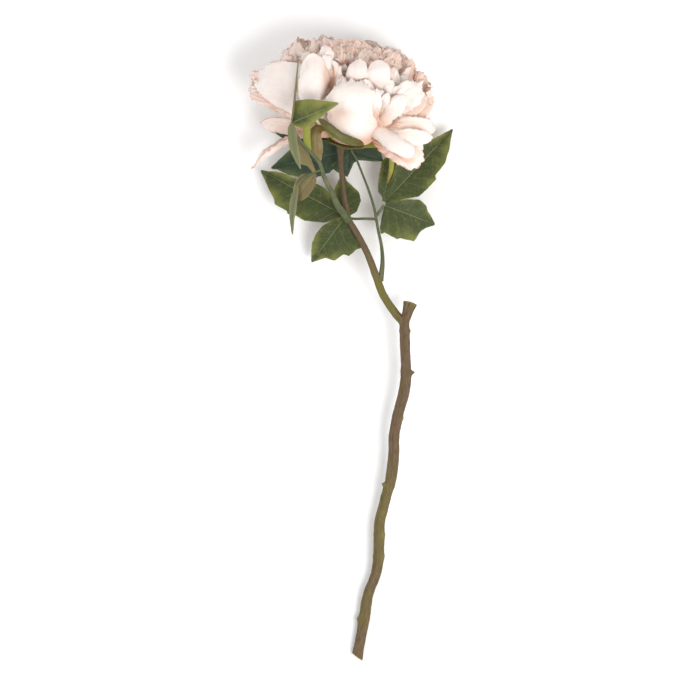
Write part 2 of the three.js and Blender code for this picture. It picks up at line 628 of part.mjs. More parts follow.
const TOP_LEAF = [
  { base: [-52.5, 201, 113], tip: [-11.2, 217.6, 126], fold: -0.25, arch: 3,
    left: [[8, 17], [14, 16], [22, 14], [30, 10], [39, 5]],
    right: [[8, 9], [18, 8], [29, 5], [36, 3]] },
  { base: [-52.5, 201, 113.5], tip: [-45, 161, 99], fold: 0.2, arch: 2, roll: 48,
    left: [[4, 6], [10, 6], [22, 6], [34, 4]],
    right: [[4, 4], [10, 5], [22, 6], [34, 3]] },
  { base: [-52.5, 201, 113], tip: [-46.3, 257.4, 122], fold: 0.3, roll: 82,
    left: [[18, 3.5], [36, 2.5], [48, 1]],
    right: [[18, 3.5], [36, 2.5], [48, 1]] },
];
const SIDE_LEAF = [
  { base: [-32, 157.5, 79.5], tip: [-50.5, 133, 71], fold: 0.1, arch: 2, roll: 12,
    left: [[5, 6], [12, 8], [20, 8], [26, 6]],
    right: [[4, 5], [8, 9], [14, 10], [22, 8], [27, 5]] },
  { base: [-32, 157.5, 79.5], tip: [-50, 193, 96], fold: 0.1, arch: 2,
    left: [[10, 3], [15, 8], [22, 8], [33, 5]],
    right: [[10, 2], [20, 3], [33, 2]] },
  { base: [-47.5, 146.5, 77.5], tip: [-52.4, 103.5, 60], fold: 0.2, arch: 2, roll: 56,
    left: [[10, 5], [22, 6], [36, 3]],
    right: [[10, 5], [22, 6], [36, 3]] },
];

// The green cup under the petals, and the sepals that grow from it.
const CUP_PROFILE = [[0, CUP_TOP], [16, CUP_TOP], [15, -0.5], [9, -3.5], [4.2, -6], [0, -6]];
const SEPALS = [
  { spine: [[7, 182, 51], [3, 185, 64], [-11, 192, 75], [-23, 201, 76], [-31, 206.5, 71]],
    left: [4, 6, 7, 5, 2], right: [5, 8, 9, 8, 3], cup: -40 },
  { spine: [[-14, 186, 52], [-25, 194, 62], [-35, 197, 69], [-41, 189, 69], [-36, 175, 63]],
    left: [2.5, 2, 1.5, 2.5, 0.8], right: [2.5, 3, 4, 4, 0.8], cup: -50 },
  { spine: [[-12, 186, 51], [-21, 194, 60], [-28, 193, 64], [-30, 181, 63], [-28.5, 167, 58]],
    left: [2, 2.5, 3, 5, 1.5], right: [3, 4, 5, 6.5, 1.5], cup: -24 },
  { spine: [[8, 183.5, 44], [24, 184, 50], [35, 177, 49], [36.5, 165, 44], [32.5, 149.5, 36]],
    left: [2, 2.5, 2.6, 2.2, 0.8], right: [2, 2.5, 2.6, 2.2, 0.8], cup: -45 },
  { spine: [[-12, 190, 38], [-19, 200, 34], [-26, 208, 32]], left: [5, 8, 2], right: [5, 8, 2], cup: 30 },
  { spine: [[3, 188.5, 33], [8, 195, 31.5], [12, 203, 31.5]], left: [5, 8, 2], right: [5, 8, 2], cup: 30 },
];

const SEPAL_ROUND = 0.05;      // how far the corners of their tips draw back, as a share of the length
const SEPAL_GRID = [8, 4];     // rows and columns of points on each

// The calyx at its own size, or larger by `extra` for cutting. A sepal grows by
// half of that at its edges, so that its facets keep their places.
function calyxSolid(extra = 0) {
  const sepals = SEPALS.map((sepal) => {
    const points = laidPoints({ round: SEPAL_ROUND, ...sepal }, ...SEPAL_GRID, extra / 2);
    return shell(points, LEAF_THICKNESS + 2 * extra);
  });
  return joined([turned(CUP_PROFILE, 14, extra), ...sepals]);
}

// ---------------------------------------------------------------------- assembly

const PETAL_FABRIC = { color: 0xeed8cc, roughness: 0.85, metalness: 0 };
const LEAF_FABRIC = { color: 0x4d6430, roughness: 0.6, metalness: 0 };
const SEPAL_PLASTIC = { color: 0x75822c, roughness: 0.55, metalness: 0 };
const STALK_PLASTIC = { color: 0x66773f, roughness: 0.5, metalness: 0 };
const BARK_PLASTIC = { color: 0x5f4a38, roughness: 0.65, metalness: 0 };

const peony = new THREE.Group();

function addPiece(name, solid, finish) {
  const mesh = new THREE.Mesh(toGeometry(largestBody(solid)), new THREE.MeshStandardMaterial(finish));
  mesh.name = name;
  peony.add(mesh);
}

addPiece('bloom', bloomSolid().subtract(calyxSolid(SEPAL_GAP)), PETAL_FABRIC);
addPiece('calyx', calyxSolid().subtract(branchSolid(GAP)), SEPAL_PLASTIC);
addPiece('stem', stemSolid(), BARK_PLASTIC);
addPiece('leaf_stalk_lower', lowerStalk().subtract(branchSolid(GAP)), STALK_PLASTIC);
addPiece('leaf_stalk_upper', upperStalk().subtract(branchSolid(GAP)), STALK_PLASTIC);

function addLeaf(name, blades, stalk) {
  addPiece(name, joined(blades.map(bladeSolid)).subtract(stalk(GAP)), LEAF_FABRIC);
}

addLeaf('leaf_left', LEFT_LEAF, lowerStalk);
addLeaf('leaf_right', RIGHT_LEAF, lowerStalk);
addLeaf('leaf_back', BACK_LEAF, lowerStalk);
addLeaf('leaf_front_top', TOP_LEAF, upperStalk);
addLeaf('leaf_front_side', SIDE_LEAF, upperStalk);

export default peony;
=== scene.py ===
"""A single artificial peony on a branched stem, lying on a pale surface and seen from above.

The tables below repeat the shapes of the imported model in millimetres. Every piece is made from
them as a fine mesh in the same frame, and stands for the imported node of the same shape.
"""

import math
import random

import bpy
import numpy as np
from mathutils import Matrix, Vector


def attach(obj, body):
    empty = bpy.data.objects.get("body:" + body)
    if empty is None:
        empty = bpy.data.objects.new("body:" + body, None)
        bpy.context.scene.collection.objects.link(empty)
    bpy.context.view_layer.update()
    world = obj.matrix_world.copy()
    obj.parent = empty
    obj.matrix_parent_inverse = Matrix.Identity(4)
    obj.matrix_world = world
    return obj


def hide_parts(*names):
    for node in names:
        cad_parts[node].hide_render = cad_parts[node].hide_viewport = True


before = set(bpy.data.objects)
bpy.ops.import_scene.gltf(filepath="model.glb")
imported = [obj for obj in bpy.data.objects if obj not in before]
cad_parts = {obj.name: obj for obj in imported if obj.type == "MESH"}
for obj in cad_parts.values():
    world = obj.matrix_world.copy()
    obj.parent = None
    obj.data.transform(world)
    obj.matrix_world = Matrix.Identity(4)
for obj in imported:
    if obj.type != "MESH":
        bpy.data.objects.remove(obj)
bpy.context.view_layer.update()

MM = 0.001
UV_SIZE = 100  # millimetres to one unit of the surface coordinates
TURN = 6.3  # about a full turn, in radians

# ---- driving sizes, in mm

PETAL_THICKNESS = 0.5
BLADE_THICKNESS = 0.6
GROUND_GAP = 0.1  # below the lowest petal, and between petals that rest on it
BAR_GAP = 0.05  # the least height of the stem's, the stalks' and the calyx's skins
STEM_RADIUS = 4.7
BRANCH_RADIUS = 3.4
NECK_RADIUS = 2.3
STEM_END_HEIGHT = 4.5
NECK_HEIGHT = 44

BLOOM_BASE = (-5.4, 186.3, NECK_HEIGHT)
BLOOM_LEAN = 12  # degrees the bloom leans to the right
BLOOM_LIFT = 20  # degrees its axis rises from the surface
CORE_PROFILE = [[0, 46], [14, 44], [23, 34], [26, 22], [24, 9], [16, 1.5], [0, 1.5]]
CORE_SHARE = 0.74  # the heart's breadth here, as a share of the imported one's
CUP_TOP = 1.2

PETAL_WIDEST = 0.62
PETAL_CLAW = 0.3
PETAL_TIP = 0.7
RING_TURN = 24
SPINE_STEPS = 40
SEED = 7
SHARP_ANGLE = 62  # edges sharper than this, in degrees, aren't smoothed

PHOTO_SCALE = 0.9  # millimetres to a pixel of the 700-pixel picture at CAMERA_PLANE
CAMERA_PLANE = 40
CAMERA_DISTANCE = 4400
CAMERA_X = -0.9
PICTURE_PIXELS = 700
SENSOR = 36


# ---- random draws

def seeded_random(seed):
    """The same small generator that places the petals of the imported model."""
    state = [seed & 0xFFFFFFFF]

    def draw():
        state[0] = (state[0] + 0x6D2B79F5) & 0xFFFFFFFF
        t = ((state[0] ^ (state[0] >> 15)) * (state[0] | 1)) & 0xFFFFFFFF
        t ^= (t + (((t ^ (t >> 7)) * (t | 61)) & 0xFFFFFFFF)) & 0xFFFFFFFF
        return ((t ^ (t >> 14)) & 0xFFFFFFFF) / 4294967296

    return draw


def ripples(rng, x, y, wavelength, octaves=2):
    """Smooth seeded bumps over two arrays of millimetres, from about -1 to 1."""
    total = np.zeros_like(x)
    for octave in range(octaves):
        for _ in range(4):
            heading = rng.uniform(0, 2 * math.pi)
            pitch = 2 * math.pi / wavelength * 2 ** octave * rng.uniform(0.7, 1.3)
            along = x * math.cos(heading) + y * math.sin(heading)
            total += np.sin(along * pitch + rng.uniform(0, 2 * math.pi)) / 2 ** octave
    return total / 3.2


def teeth(rng, count, sharp):
    """A ragged edge: one value for each point along it, from about -1 to 1."""
    place = np.arange(count)
    wave = sum(
        np.sin(place * rng.uniform(0.25, 1.1) + rng.uniform(0, TURN)) for _ in range(4)) / 3
    nicks = np.array([rng.uniform(0, 1) ** sharp for _ in range(count)])
    return 0.5 * wave - nicks


# ---- mesh tools

class Piece:
    """Gathers closed shells and bars, in mm, into one mesh.

    resting counts the shells that lie on the surface, because each lies on the one before it.
    """

    def __init__(self, resting=0):
        self.resting = resting
        self.points, self.faces, self.slots = [], [], []
        self.colors, self.uvs = [], []
        self.count = 0

    def add(self, points, faces, slots, colors, uvs):
        self.points.append(points)
        self.faces.extend([[i + self.count for i in face] for face in faces])
        self.slots.extend(slots)
        self.colors.append(colors)
        self.uvs.append(uvs)
        self.count += len(points)

    def shell(self, grid, thickness, colors, uvs, slots=(0, 0)):
        """A thin closed shell on both sides of a grid of points, above the surface."""
        rows, columns = grid.shape[:2]
        along = np.gradient(grid, axis=0)
        across = np.gradient(grid, axis=1)
        normal = np.cross(along, across)
        normal /= np.linalg.norm(normal, axis=2, keepdims=True) + 1e-9
        sides = []
        ground = GROUND_GAP + self.resting * (thickness + GROUND_GAP)
        if grid[..., 2].min() < ground + thickness:
            self.resting += 1
        for side in (1, -1):
            points = grid + normal * side * thickness / 2
            lowest = np.where(side * normal[..., 2] > 0, thickness + ground, ground)
            points[..., 2] = np.maximum(points[..., 2], lowest)
            sides.append(points.reshape(-1, 3))
        half = rows * columns
        cell = (np.arange(rows - 1)[:, None] * columns + np.arange(columns - 1)[None, :]).ravel()
        upper = np.stack([cell, cell + columns, cell + columns + 1, cell + 1], 1)
        lower = np.stack([cell, cell + 1, cell + columns + 1, cell + columns], 1) + half
        rim = list(range(columns - 1))
        rim += [i * columns + columns - 1 for i in range(rows - 1)]
        rim += [(rows - 1) * columns + j for j in range(columns - 1, 0, -1)]
        rim += [i * columns for i in range(rows - 1, 0, -1)]
        band = [[p, q, q + half, p + half] for p, q in zip(rim, rim[1:] + rim[:1])]
        faces = upper.tolist() + lower.tolist() + band
        numbers = [slots[0]] * len(upper) + [slots[1]] * len(lower) + [slots[0]] * len(band)
        colors = colors.reshape(-1, 4)
        uvs = uvs.reshape(-1, 2)
        self.add(np.vstack(sides), faces, numbers, np.vstack([colors] * 2), np.vstack([uvs] * 2))

    def rings(self, rings, colors, uvs, slot=0):
        """A closed skin over rings of points, [ring][side], that ends in two fans."""
        count, sides = rings.shape[:2]
        points = np.vstack([rings.reshape(-1, 3), rings[0].mean(0)[None], rings[-1].mean(0)[None]])
        points[:, 2] = np.maximum(points[:, 2], BAR_GAP)
        faces = []
        for i in range(count - 1):
            for j in range(sides):
                a, b = i * sides + j, i * sides + (j + 1) % sides
                faces.append([a, b, b + sides, a + sides])
        first = count * sides
        for j in range(sides):
            following = (j + 1) % sides
            faces.append([first, following, j])
            faces.append([first + 1, first - sides + j, first - sides + following])
        ends = [0, first - 1]
        colors = np.vstack([colors.reshape(-1, 4), colors.reshape(-1, 4)[ends]])
        uvs = np.vstack([uvs.reshape(-1, 2), uvs.reshape(-1, 2)[ends]])
        self.add(points, faces, [slot] * len(faces), colors, uvs)

    def build(self, name, materials, slot, *nodes):
        """Makes the object, which rides on the root and stands for the named nodes."""
        mesh = bpy.data.meshes.new(name)
        points = np.vstack(self.points) * MM
        mesh.from_pydata(points.tolist(), [], self.faces)
        mesh.polygons.foreach_set("material_index", self.slots)
        tint = mesh.color_attributes.new("tint", "FLOAT_COLOR", "POINT")
        tint.data.foreach_set("color", np.vstack(self.colors).astype(np.float32).ravel())
        corners = np.zeros(len(mesh.loops), np.int32)
        mesh.loops.foreach_get("vertex_index", corners)
        layer = mesh.uv_layers.new(name="UVMap")
        layer.data.foreach_set("uv", np.vstack(self.uvs).astype(np.float32)[corners].ravel())
        for material in materials:
            mesh.materials.append(material)
        mesh.shade_smooth()
        mesh.set_sharp_from_angle(angle=math.radians(SHARP_ANGLE))
        mesh.update()
        piece = bpy.data.objects.new(name, mesh)
        bpy.context.scene.collection.objects.link(piece)
        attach(piece, "root")
        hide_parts(*nodes)
        return piece


def tinted(shape, red=0.0, green=0.0, blue=0.0):
    """Colour channels over an array of the given shape; each may be a number or an array."""
    channels = [np.broadcast_to(np.asarray(c, float), shape) for c in (red, green, blue, 1.0)]
    return np.clip(np.stack(channels, -1), 0, 1)


def smooth_curve(points, steps):
    """A centripetal curve through the points, at evenly spaced lengths along it."""
    given = np.array(points, float)
    padded = np.vstack([2 * given[0] - given[1], given, 2 * given[-1] - given[-2]])
    fine = []
    for p0, p1, p2, p3 in zip(padded, padded[1:], padded[2:], padded[3:]):
        d0, d1, d2 = [
            max(np.linalg.norm(b - a), 1e-4) ** 0.5 for a, b in ((p0, p1), (p1, p2), (p2, p3))]
        start = ((p1 - p0) / d0 - (p2 - p0) / (d0 + d1) + (p2 - p1) / d1) * d1
        end = ((p2 - p1) / d1 - (p3 - p1) / (d1 + d2) + (p3 - p2) / d2) * d1
        t = np.linspace(0, 1, 24, endpoint=False)[:, None]
        fine.append((2 * t**3 - 3 * t**2 + 1) * p1 + (t**3 - 2 * t**2 + t) * start
                    + (3 * t**2 - 2 * t**3) * p2 + (t**3 - t**2) * end)
    line = np.vstack(fine + [given[-1:]])
    length = np.concatenate([[0], np.cumsum(np.linalg.norm(np.diff(line, axis=0), axis=1))])
    even = np.linspace(0, length[-1], steps + 1)
    return np.stack([np.interp(even, length, line[:, k]) for k in range(3)], 1), even


def bar_angles(sides):
    """The angle of each side of a bar; side 0 faces down."""
    return np.arange(sides) / sides * 2 * math.pi - math.pi / 2


def bar(line, radii, angle):
    """Rings of points round a line, [ring][side]."""
    tangent = np.gradient(line, axis=0)
    tangent /= np.linalg.norm(tangent, axis=1, keepdims=True)
    right = np.cross(tangent, (0, 0, 1))
    right /= np.linalg.norm(right, axis=1, keepdims=True)
    up = np.cross(right, tangent)
    spokes = (right[:, None] * np.cos(angle)[None, :, None]
              + up[:, None] * np.sin(angle)[None, :, None])
    return line[:, None] + spokes * radii[..., None]


def bar_uvs(angle, length):
    """Surface coordinates of a bar: its sides as shares of a turn, and the length along it."""
    return np.stack(np.broadcast_arrays(angle[None, :] / TURN, length[:, None] / UV_SIZE), -1)


def read_along(table, places, u):
    """Rows of three numbers that stand at the given places, read at u."""
    return np.stack([np.interp(u, places, table[:, axis]) for axis in range(3)], -1)


def sampled(values, t):
    """Values read from a short list of evenly spaced ones."""
    return np.interp(t, np.linspace(0, 1, len(values)), values)


# ---- petals

lean, lift = math.radians(BLOOM_LEAN), math.radians(BLOOM_LIFT)
BLOOM_AXES = np.array([
    [math.cos(lean), -math.sin(lean), 0],
    [-math.sin(lean) * math.sin(lift), -math.cos(lean) * math.sin(lift), math.cos(lift)],
    [math.sin(lean) * math.cos(lift), math.cos(lean) * math.cos(lift), math.sin(lift)],
])


def on_bloom(points):
    """Points in the bloom's own axes, moved to where the bloom stands."""
    return points @ BLOOM_AXES + np.array(BLOOM_BASE)


FRONT_SIDE = (20, 170)  # the headings, in degrees, that the petals placed one by one fill
LAID_STEPS = 80  # along the spine of a petal that is placed by itself
OUTLINE_STEPS = 60
GUARD_GRID = (52, 60)  # rows and columns of points on the petals of each kind
FRONT_GRID = (60, 64)
BACK_GRID = (44, 48)
FRILL_GRID = (26, 34)
INNER_GRID = (36, 40)
FILLER_GRID = (36, 44)
CORE_SIDES, CORE_STEPS = 40, 24

# What a petal is like where its entry doesn't say. phase, wave: the slow wave across it. claw: how
# narrow its root is. round: how much its corners are cut. tone: 0 is the white of the front petals
# and 1 a warm beige, partly the own colour of the petals behind and partly painted shade of the
# deep and far ones. fray, ruffle, curl: how ragged its rim is, how high the rim
# ruffles and how far the tip rolls back, in mm. pitch, reach: the length of the ruffles, and how
# far in from the rim they fade. crease: how creased it is. shade: how soon the painted peach shade
# of the claw fades. dents, blush: spots on it, each as u, v, its size along both, and its depth or
# its share; the tinted spots are partly a printed tint and partly painted shade in the folds.
PETAL_DEFAULTS = dict(
    yaw=0, roll=0, wave=0, phase=0, claw=PETAL_CLAW, round=0.2, tone=0.1, fray=1.2, ruffle=1,
    pitch=15, reach=6.5, crease=1, curl=1.5, shade=1.2, dents=(), blush=(),
)
BACK_LOOKS = dict(fray=2.6, ruffle=1.7, pitch=10, crease=1.0)


def ringed(azimuth, yaw, root, length, rise, width, cup, tone, **looks):
    """A petal about the bloom's axis: its heading, the radius and height of its root, its length,
    how it rises at its root, middle and tip, half its width, and the angle that it is cupped by."""
    return dict(azimuth=azimuth, yaw=yaw, root=root, length=length, rise=rise, width=width,
                cup=cup, tone=tone, **looks)


# azimuth 0 is the right, 90 faces up from the surface, 180 the left, 270 the surface itself.
GUARD_PETALS = [
    ringed(352, 6, (8, 8), 91, (8, 46, 104), 36, 40, 0.6, wave=2, phase=2, fray=2.2, ruffle=2.2),
    ringed(320, 12, (8, 6), 96, (0, 46, 104), 38, 36, 0.5, wave=2, phase=4, fray=2.4, ruffle=2.4),
    ringed(281, 12, (9, 7), 106, (0, 49, 104), 38, 32, 0.4, wave=2, phase=1, fray=2.2, ruffle=2.4,
           claw=0.05),
    ringed(242, 12, (9, 6), 104, (0, 50, 105), 38, 32, 0.4, wave=2, phase=3, fray=2.4, ruffle=2.4,
           claw=0.05),
    ringed(206, 12, (9, 6), 104, (4, 48, 102), 40, 36, 0.45, wave=2, phase=5, fray=3.0, ruffle=2.4,
           claw=0.05),
    ringed(186, 0, (12, 4), 68, (-6, -2, 0), 9, 30, 0.3, roll=-70, wave=1, fray=1.4, ruffle=1.0),
    ringed(178, 0, (10, 7), 86, (0, -43, -38), 9, 130, 0.3, fray=1.6, ruffle=1.2),
]

INNER_RINGS = [
    dict(count=8, root=(14, 14), length=78, rise=(26, 74, 96), width=26, cup=30, yaw=16),
    dict(count=6, root=(12, 22), length=58, rise=(42, 80, 98), width=20, cup=34, yaw=18),
    dict(count=5, root=(6, 30), length=38, rise=(56, 84, 100), width=14, cup=40, yaw=20),
]


def ring_petals():
    """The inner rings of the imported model, petal for petal."""
    draw = seeded_random(SEED)

    def vary(size):
        return (draw() * 2 - 1) * size

    petals = []
    for number, ring in enumerate(INNER_RINGS):
        for i in range(ring["count"]):
            petals.append(dict(
                azimuth=i / ring["count"] * 360 + number * RING_TURN + vary(4),
                yaw=ring["yaw"] + vary(4),
                roll=vary(4),
                root=ring["root"],
                length=ring["length"] * (1 + vary(0.07)),
                rise=[angle + vary(3) for angle in ring["rise"]],
                width=ring["width"] * (1 + vary(0.1)),
                cup=ring["cup"] + vary(4),
                wave=1.2 + vary(0.6),
                phase=vary(math.pi),
                tone=0.12, fray=1.4, ruffle=1.6,
            ))
    return petals


def petal_breadth(u, claw_share=PETAL_CLAW):
    """Breadth of a petal along its length: a narrow claw, widest past the middle."""
    claw = claw_share + (1 - claw_share) * np.sin(np.minimum(u / PETAL_WIDEST, 1) * math.pi / 2)
    past = np.clip((u - PETAL_WIDEST) / (1 - PETAL_WIDEST), 0, None)
    return np.where(u < PETAL_WIDEST, claw, 1 - (1 - PETAL_TIP) * past**2)


def turned_about(vectors, axis, angle):
    """Vectors turned about a unit axis."""
    cosine, sine = math.cos(angle), math.sin(angle)
    return (vectors * cosine + np.cross(axis, vectors) * sine
            + axis * (vectors @ axis)[..., None] * (1 - cosine))


def petal_surface(petal, u, v):
    """Points of a petal in the bloom's own axes, and the normal on its inner face."""
    heading = math.radians(petal["azimuth"] + petal["yaw"])
    outward = np.array([math.cos(heading), math.sin(heading), 0])
    level = np.array([-math.sin(heading), math.cos(heading), 0])
    up = np.array([0, 0, 1.0])
    at_root, at_middle, at_tip = petal["rise"]
    first = math.radians(at_root)
    axis = outward * math.cos(first) + up * math.sin(first)
    roll = math.radians(petal["roll"])
    k = np.arange(SPINE_STEPS + 1) / SPINE_STEPS
    angle = np.radians(at_root * (1 - k) * (1 - 2 * k) + at_middle * 4 * k * (1 - k)
                       + at_tip * k * (2 * k - 1))
    tangents = outward * np.cos(angle)[:, None] + up * np.sin(angle)[:, None]
    tangents = turned_about(tangents, axis, roll)
    side = turned_about(level[None], axis, roll)[0]
    radius, height = petal["root"]
    place = math.radians(petal["azimuth"])
    start = np.array([radius * math.cos(place), radius * math.sin(place), height])
    steps = tangents[:-1] * petal["length"] / SPINE_STEPS
    spine = np.vstack([start, start + np.cumsum(steps, axis=0)])
    cup = math.radians(petal["cup"])
    bend_radius = petal["width"] / cup
    normal = np.cross(read_along(tangents, k, u), side)
    normal /= np.linalg.norm(normal, axis=-1, keepdims=True)
    bend = v * petal_breadth(u, petal["claw"]) * cup
    slow_wave = (petal["wave"] * u * u * np.sin(2 * math.pi * v + petal["phase"])
                 * (0.35 + 0.65 * np.abs(v)))
    points = (read_along(spine, k, u) + side * (bend_radius * np.sin(bend))[..., None]
              + normal * (bend_radius * (1 - np.cos(bend)) + slow_wave)[..., None])
    face = normal * np.cos(bend)[..., None] - side * np.sin(bend)[..., None]
    return points, face


def spots(u, v, places):
    """The sum of soft round spots on a petal, each as u, v, its size along both, and its height."""
    return sum(
        height * np.exp(-((u - at_u) / size_u) ** 2 - ((v - at_v) / size_v) ** 2)
        for at_u, at_v, size_u, size_v, height in places
    )


RUFFLES = ((0.6, 1), (0.3, 0.45))  # height and length of the two waves along a rim
FOLD_LENGTH, CRUMPLE_LENGTH, CREASE_LENGTH = 19, 26, 7
PLEAT_HEIGHT, PLEAT_DRIFT = 0.16, 40
CURL_START = 0.86
PALE_RIM = 3.5  # how far in from the rim the cloth is paler
TONE_PATCH, WORN_PATCH = 30, 9


def add_cloth(piece, petal, rng, surface, even, places, rim, size):
    """Adds the ruffles, creases and tint of cloth to a petal, with its painted shade, and makes its
    shell.

    surface holds its points and normals, even the even grid from root to tip and side to side,
    places the ragged one in mm, and rim the distances to the rim and along it.
    """
    (points, face), (u, v), (x, y), (to_rim, along_rim) = surface, even, places, rim
    pitch, tone = petal["pitch"], petal["tone"]
    waves = sum(
        height * np.sin(2 * math.pi * along_rim / (pitch * ratio * rng.uniform(0.85, 1.15))
                        + rng.uniform(0, TURN))
        for height, ratio in RUFFLES
    )
    frill = waves + ripples(rng, along_rim, to_rim, pitch * 0.8, 3)
    reach = min(petal["reach"], 0.3 * size + 1.5)
    raised_rim = petal["ruffle"] * frill * np.exp(-to_rim / reach) * np.minimum(u * 2, 1)
    folded = 1 - 2 * np.abs(ripples(rng, x, y, FOLD_LENGTH, 3))
    crumple = (0.5 * ripples(rng, x, y, CRUMPLE_LENGTH)
               + petal["crease"] * (0.16 * ripples(rng, x, y, CREASE_LENGTH) + 0.35 * folded))
    pleats = (PLEAT_HEIGHT * min(1, size / 24) ** 2
              * np.sin(v * rng.uniform(16, 22) + 1.5 * ripples(rng, x, y, PLEAT_DRIFT)) * u)
    rolled = -petal["curl"] * np.clip((u - CURL_START) / (1 - CURL_START), 0, 1) ** 2
    relief = (raised_rim + (crumple + pleats) * np.minimum(u * 3, 1) + rolled
              + spots(u, v, petal["dents"]))
    points = points + face * relief[..., None]

    # beige: partly the back petals' own colour, partly painted shade; less of it near the rim
    beige_and_shade = tone * (1 - 0.45 * np.exp(-to_rim / PALE_RIM)) + 0.08 * ripples(rng, x, y, TONE_PATCH)
    beige_and_shade = beige_and_shade + spots(u, v, petal["blush"])
    worn = 0.85 + 0.45 * ripples(rng, along_rim, y * 0, WORN_PATCH)
    frayed = np.exp(-to_rim / (0.7 + 0.35 * petal["fray"])) * worn * (1 - 0.4 * tone)
    # painted peach shade: strongest at the claw, deep in the bloom, fading towards the tip as shade
    # sets
    depth = np.clip(1 - u * petal["shade"], 0, 1)
    uvs = np.stack([x, y], -1) / UV_SIZE + rng.uniform(0, 5)
    piece.shell(points, PETAL_THICKNESS, tinted(u.shape, frayed, depth, beige_and_shade), uvs)


def to_the_rim(count):
    """Steps from 0 to 1 that close up towards 1."""
    even = np.linspace(0, 1, count)
    return even * (1.35 - 0.35 * even)


def side_to_side(count):
    """Steps from -1 to 1 that close up towards both."""
    even = np.linspace(-1, 1, count)
    return even * (1.25 - 0.25 * np.abs(even))


def ragged_grid(petal, length, width, rng, grid):
    """An even grid over a petal and the same grid pulled in and out at a ragged rim."""
    rows, columns = grid
    even_u, even_v = np.meshgrid(to_the_rim(rows), side_to_side(columns), indexing="ij")
    tip_teeth = teeth(rng, columns, 3) * petal["fray"] / length
    side_teeth = [teeth(rng, rows, 3) * petal["fray"] / width for _ in range(2)]
    side_share = np.where(even_v < 0, side_teeth[0][:, None], side_teeth[1][:, None])
    corners = 1 - petal["round"] * np.abs(even_v) ** 2.2
    u = even_u * corners * (1 + tip_teeth[None, :] * even_u**10)
    v = even_v * (1 + side_share * np.abs(even_v) ** 10)
    return (even_u, even_v), (u, v)


def round_the_rim(even, length, width):
    """The distance along the rim, read off the direction from the petal's middle."""
    return np.arctan2(even[1] * width, (even[0] - 0.4) * length) * (width + 0.6 * length) / 2


def add_petal(piece, petal, rng, grid):
    """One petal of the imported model's rule, as crumpled cloth with a ragged, tinted rim."""
    petal = {**PETAL_DEFAULTS, **petal}
    length, width = petal["length"], petal["width"]
    even, (u, v) = ragged_grid(petal, length, width, rng, grid)
    points, face = petal_surface(petal, u, v)
    to_side = (1 - np.abs(even[1])) * width * petal_breadth(u)
    rim = np.minimum((1 - even[0]) * length, to_side), round_the_rim(even, length, width)
    surface = on_bloom(points), face @ BLOOM_AXES
    add_cloth(piece, petal, rng, surface, even, (u * length, v * width), rim, width)


def seen_at(points):
    """Moves points from where the camera sees them at CAMERA_PLANE to their own heights."""
    points = np.array(points, float)
    share = (CAMERA_DISTANCE + CAMERA_PLANE - points[:, 2]) / CAMERA_DISTANCE
    points[:, 0] = CAMERA_X + (points[:, 0] - CAMERA_X) * share
    points[:, 1] *= share
    return points


def laid_surface(shape, u, v):
    """Points of a shape along its spine, the normals, and its half-width there.

    u runs from 0 at its root to 1 at its tip, and v from -1 at its left edge to 1 at its right.
    """
    spine, lengths = smooth_curve(seen_at(shape["spine"]), LAID_STEPS)
    k = np.linspace(0, 1, LAID_STEPS + 1)
    tangent = np.gradient(spine, axis=0)
    tangent /= np.linalg.norm(tangent, axis=1, keepdims=True)
    side = np.cross(tangent, (0, 0, 1))
    side /= np.linalg.norm(side, axis=1, keepdims=True)
    normal = read_along(np.cross(side, tangent), k, u)
    side = read_along(side, k, u)
    halves = []
    for widths in (shape["left"], shape["right"]):
        place = np.linspace(0, lengths[-1], len(widths))
        outline = smooth_curve(np.stack([place, widths, place * 0], 1), OUTLINE_STEPS)[0]
        halves.append(np.interp(u * lengths[-1], outline[:, 0], outline[:, 1]))
    half = np.where(v < 0, halves[0], halves[1])
    bend_radius = max(shape["left"] + shape["right"]) / math.radians(shape["cup"])
    bend = v * half / bend_radius
    points = (read_along(spine, k, u) + side * (bend_radius * np.sin(bend))[..., None]
              + normal * (bend_radius * (1 - np.cos(bend)))[..., None])
    face = normal * np.cos(bend)[..., None] - side * np.sin(bend)[..., None]
    return points, face, half


def laid_size(shape):
    """Length and greatest half-width of a shape along a spine."""
    length = smooth_curve(seen_at(shape["spine"]), LAID_STEPS)[1][-1]
    return length, max(shape["left"] + shape["right"])


def add_laid_petal(piece, petal, rng, grid):
    """A petal along a given spine, with its own half-widths to the left and right of it."""
    petal = {**PETAL_DEFAULTS, **petal}
    length, widest = laid_size(petal)
    even, (u, v) = ragged_grid(petal, length, widest, rng, grid)
    points, face, half = laid_surface(petal, u, v)
    to_rim = np.minimum((1 - even[0]) * length, (1 - np.abs(even[1])) * half)
    rim = to_rim, round_the_rim(even, length, widest)
    add_cloth(piece, petal, rng, (points, face), even, (u * length, v * half), rim, widest)


def laid(cup, tone, spine, left, right=None, **looks):
    """A shape along a spine: the angle that it is cupped by, its tone, the spine from root to tip
    as the camera sees it, and its half-widths on the left, and on the right where they differ."""
    return dict(cup=cup, tone=tone, spine=spine, left=left, right=right or left, **looks)


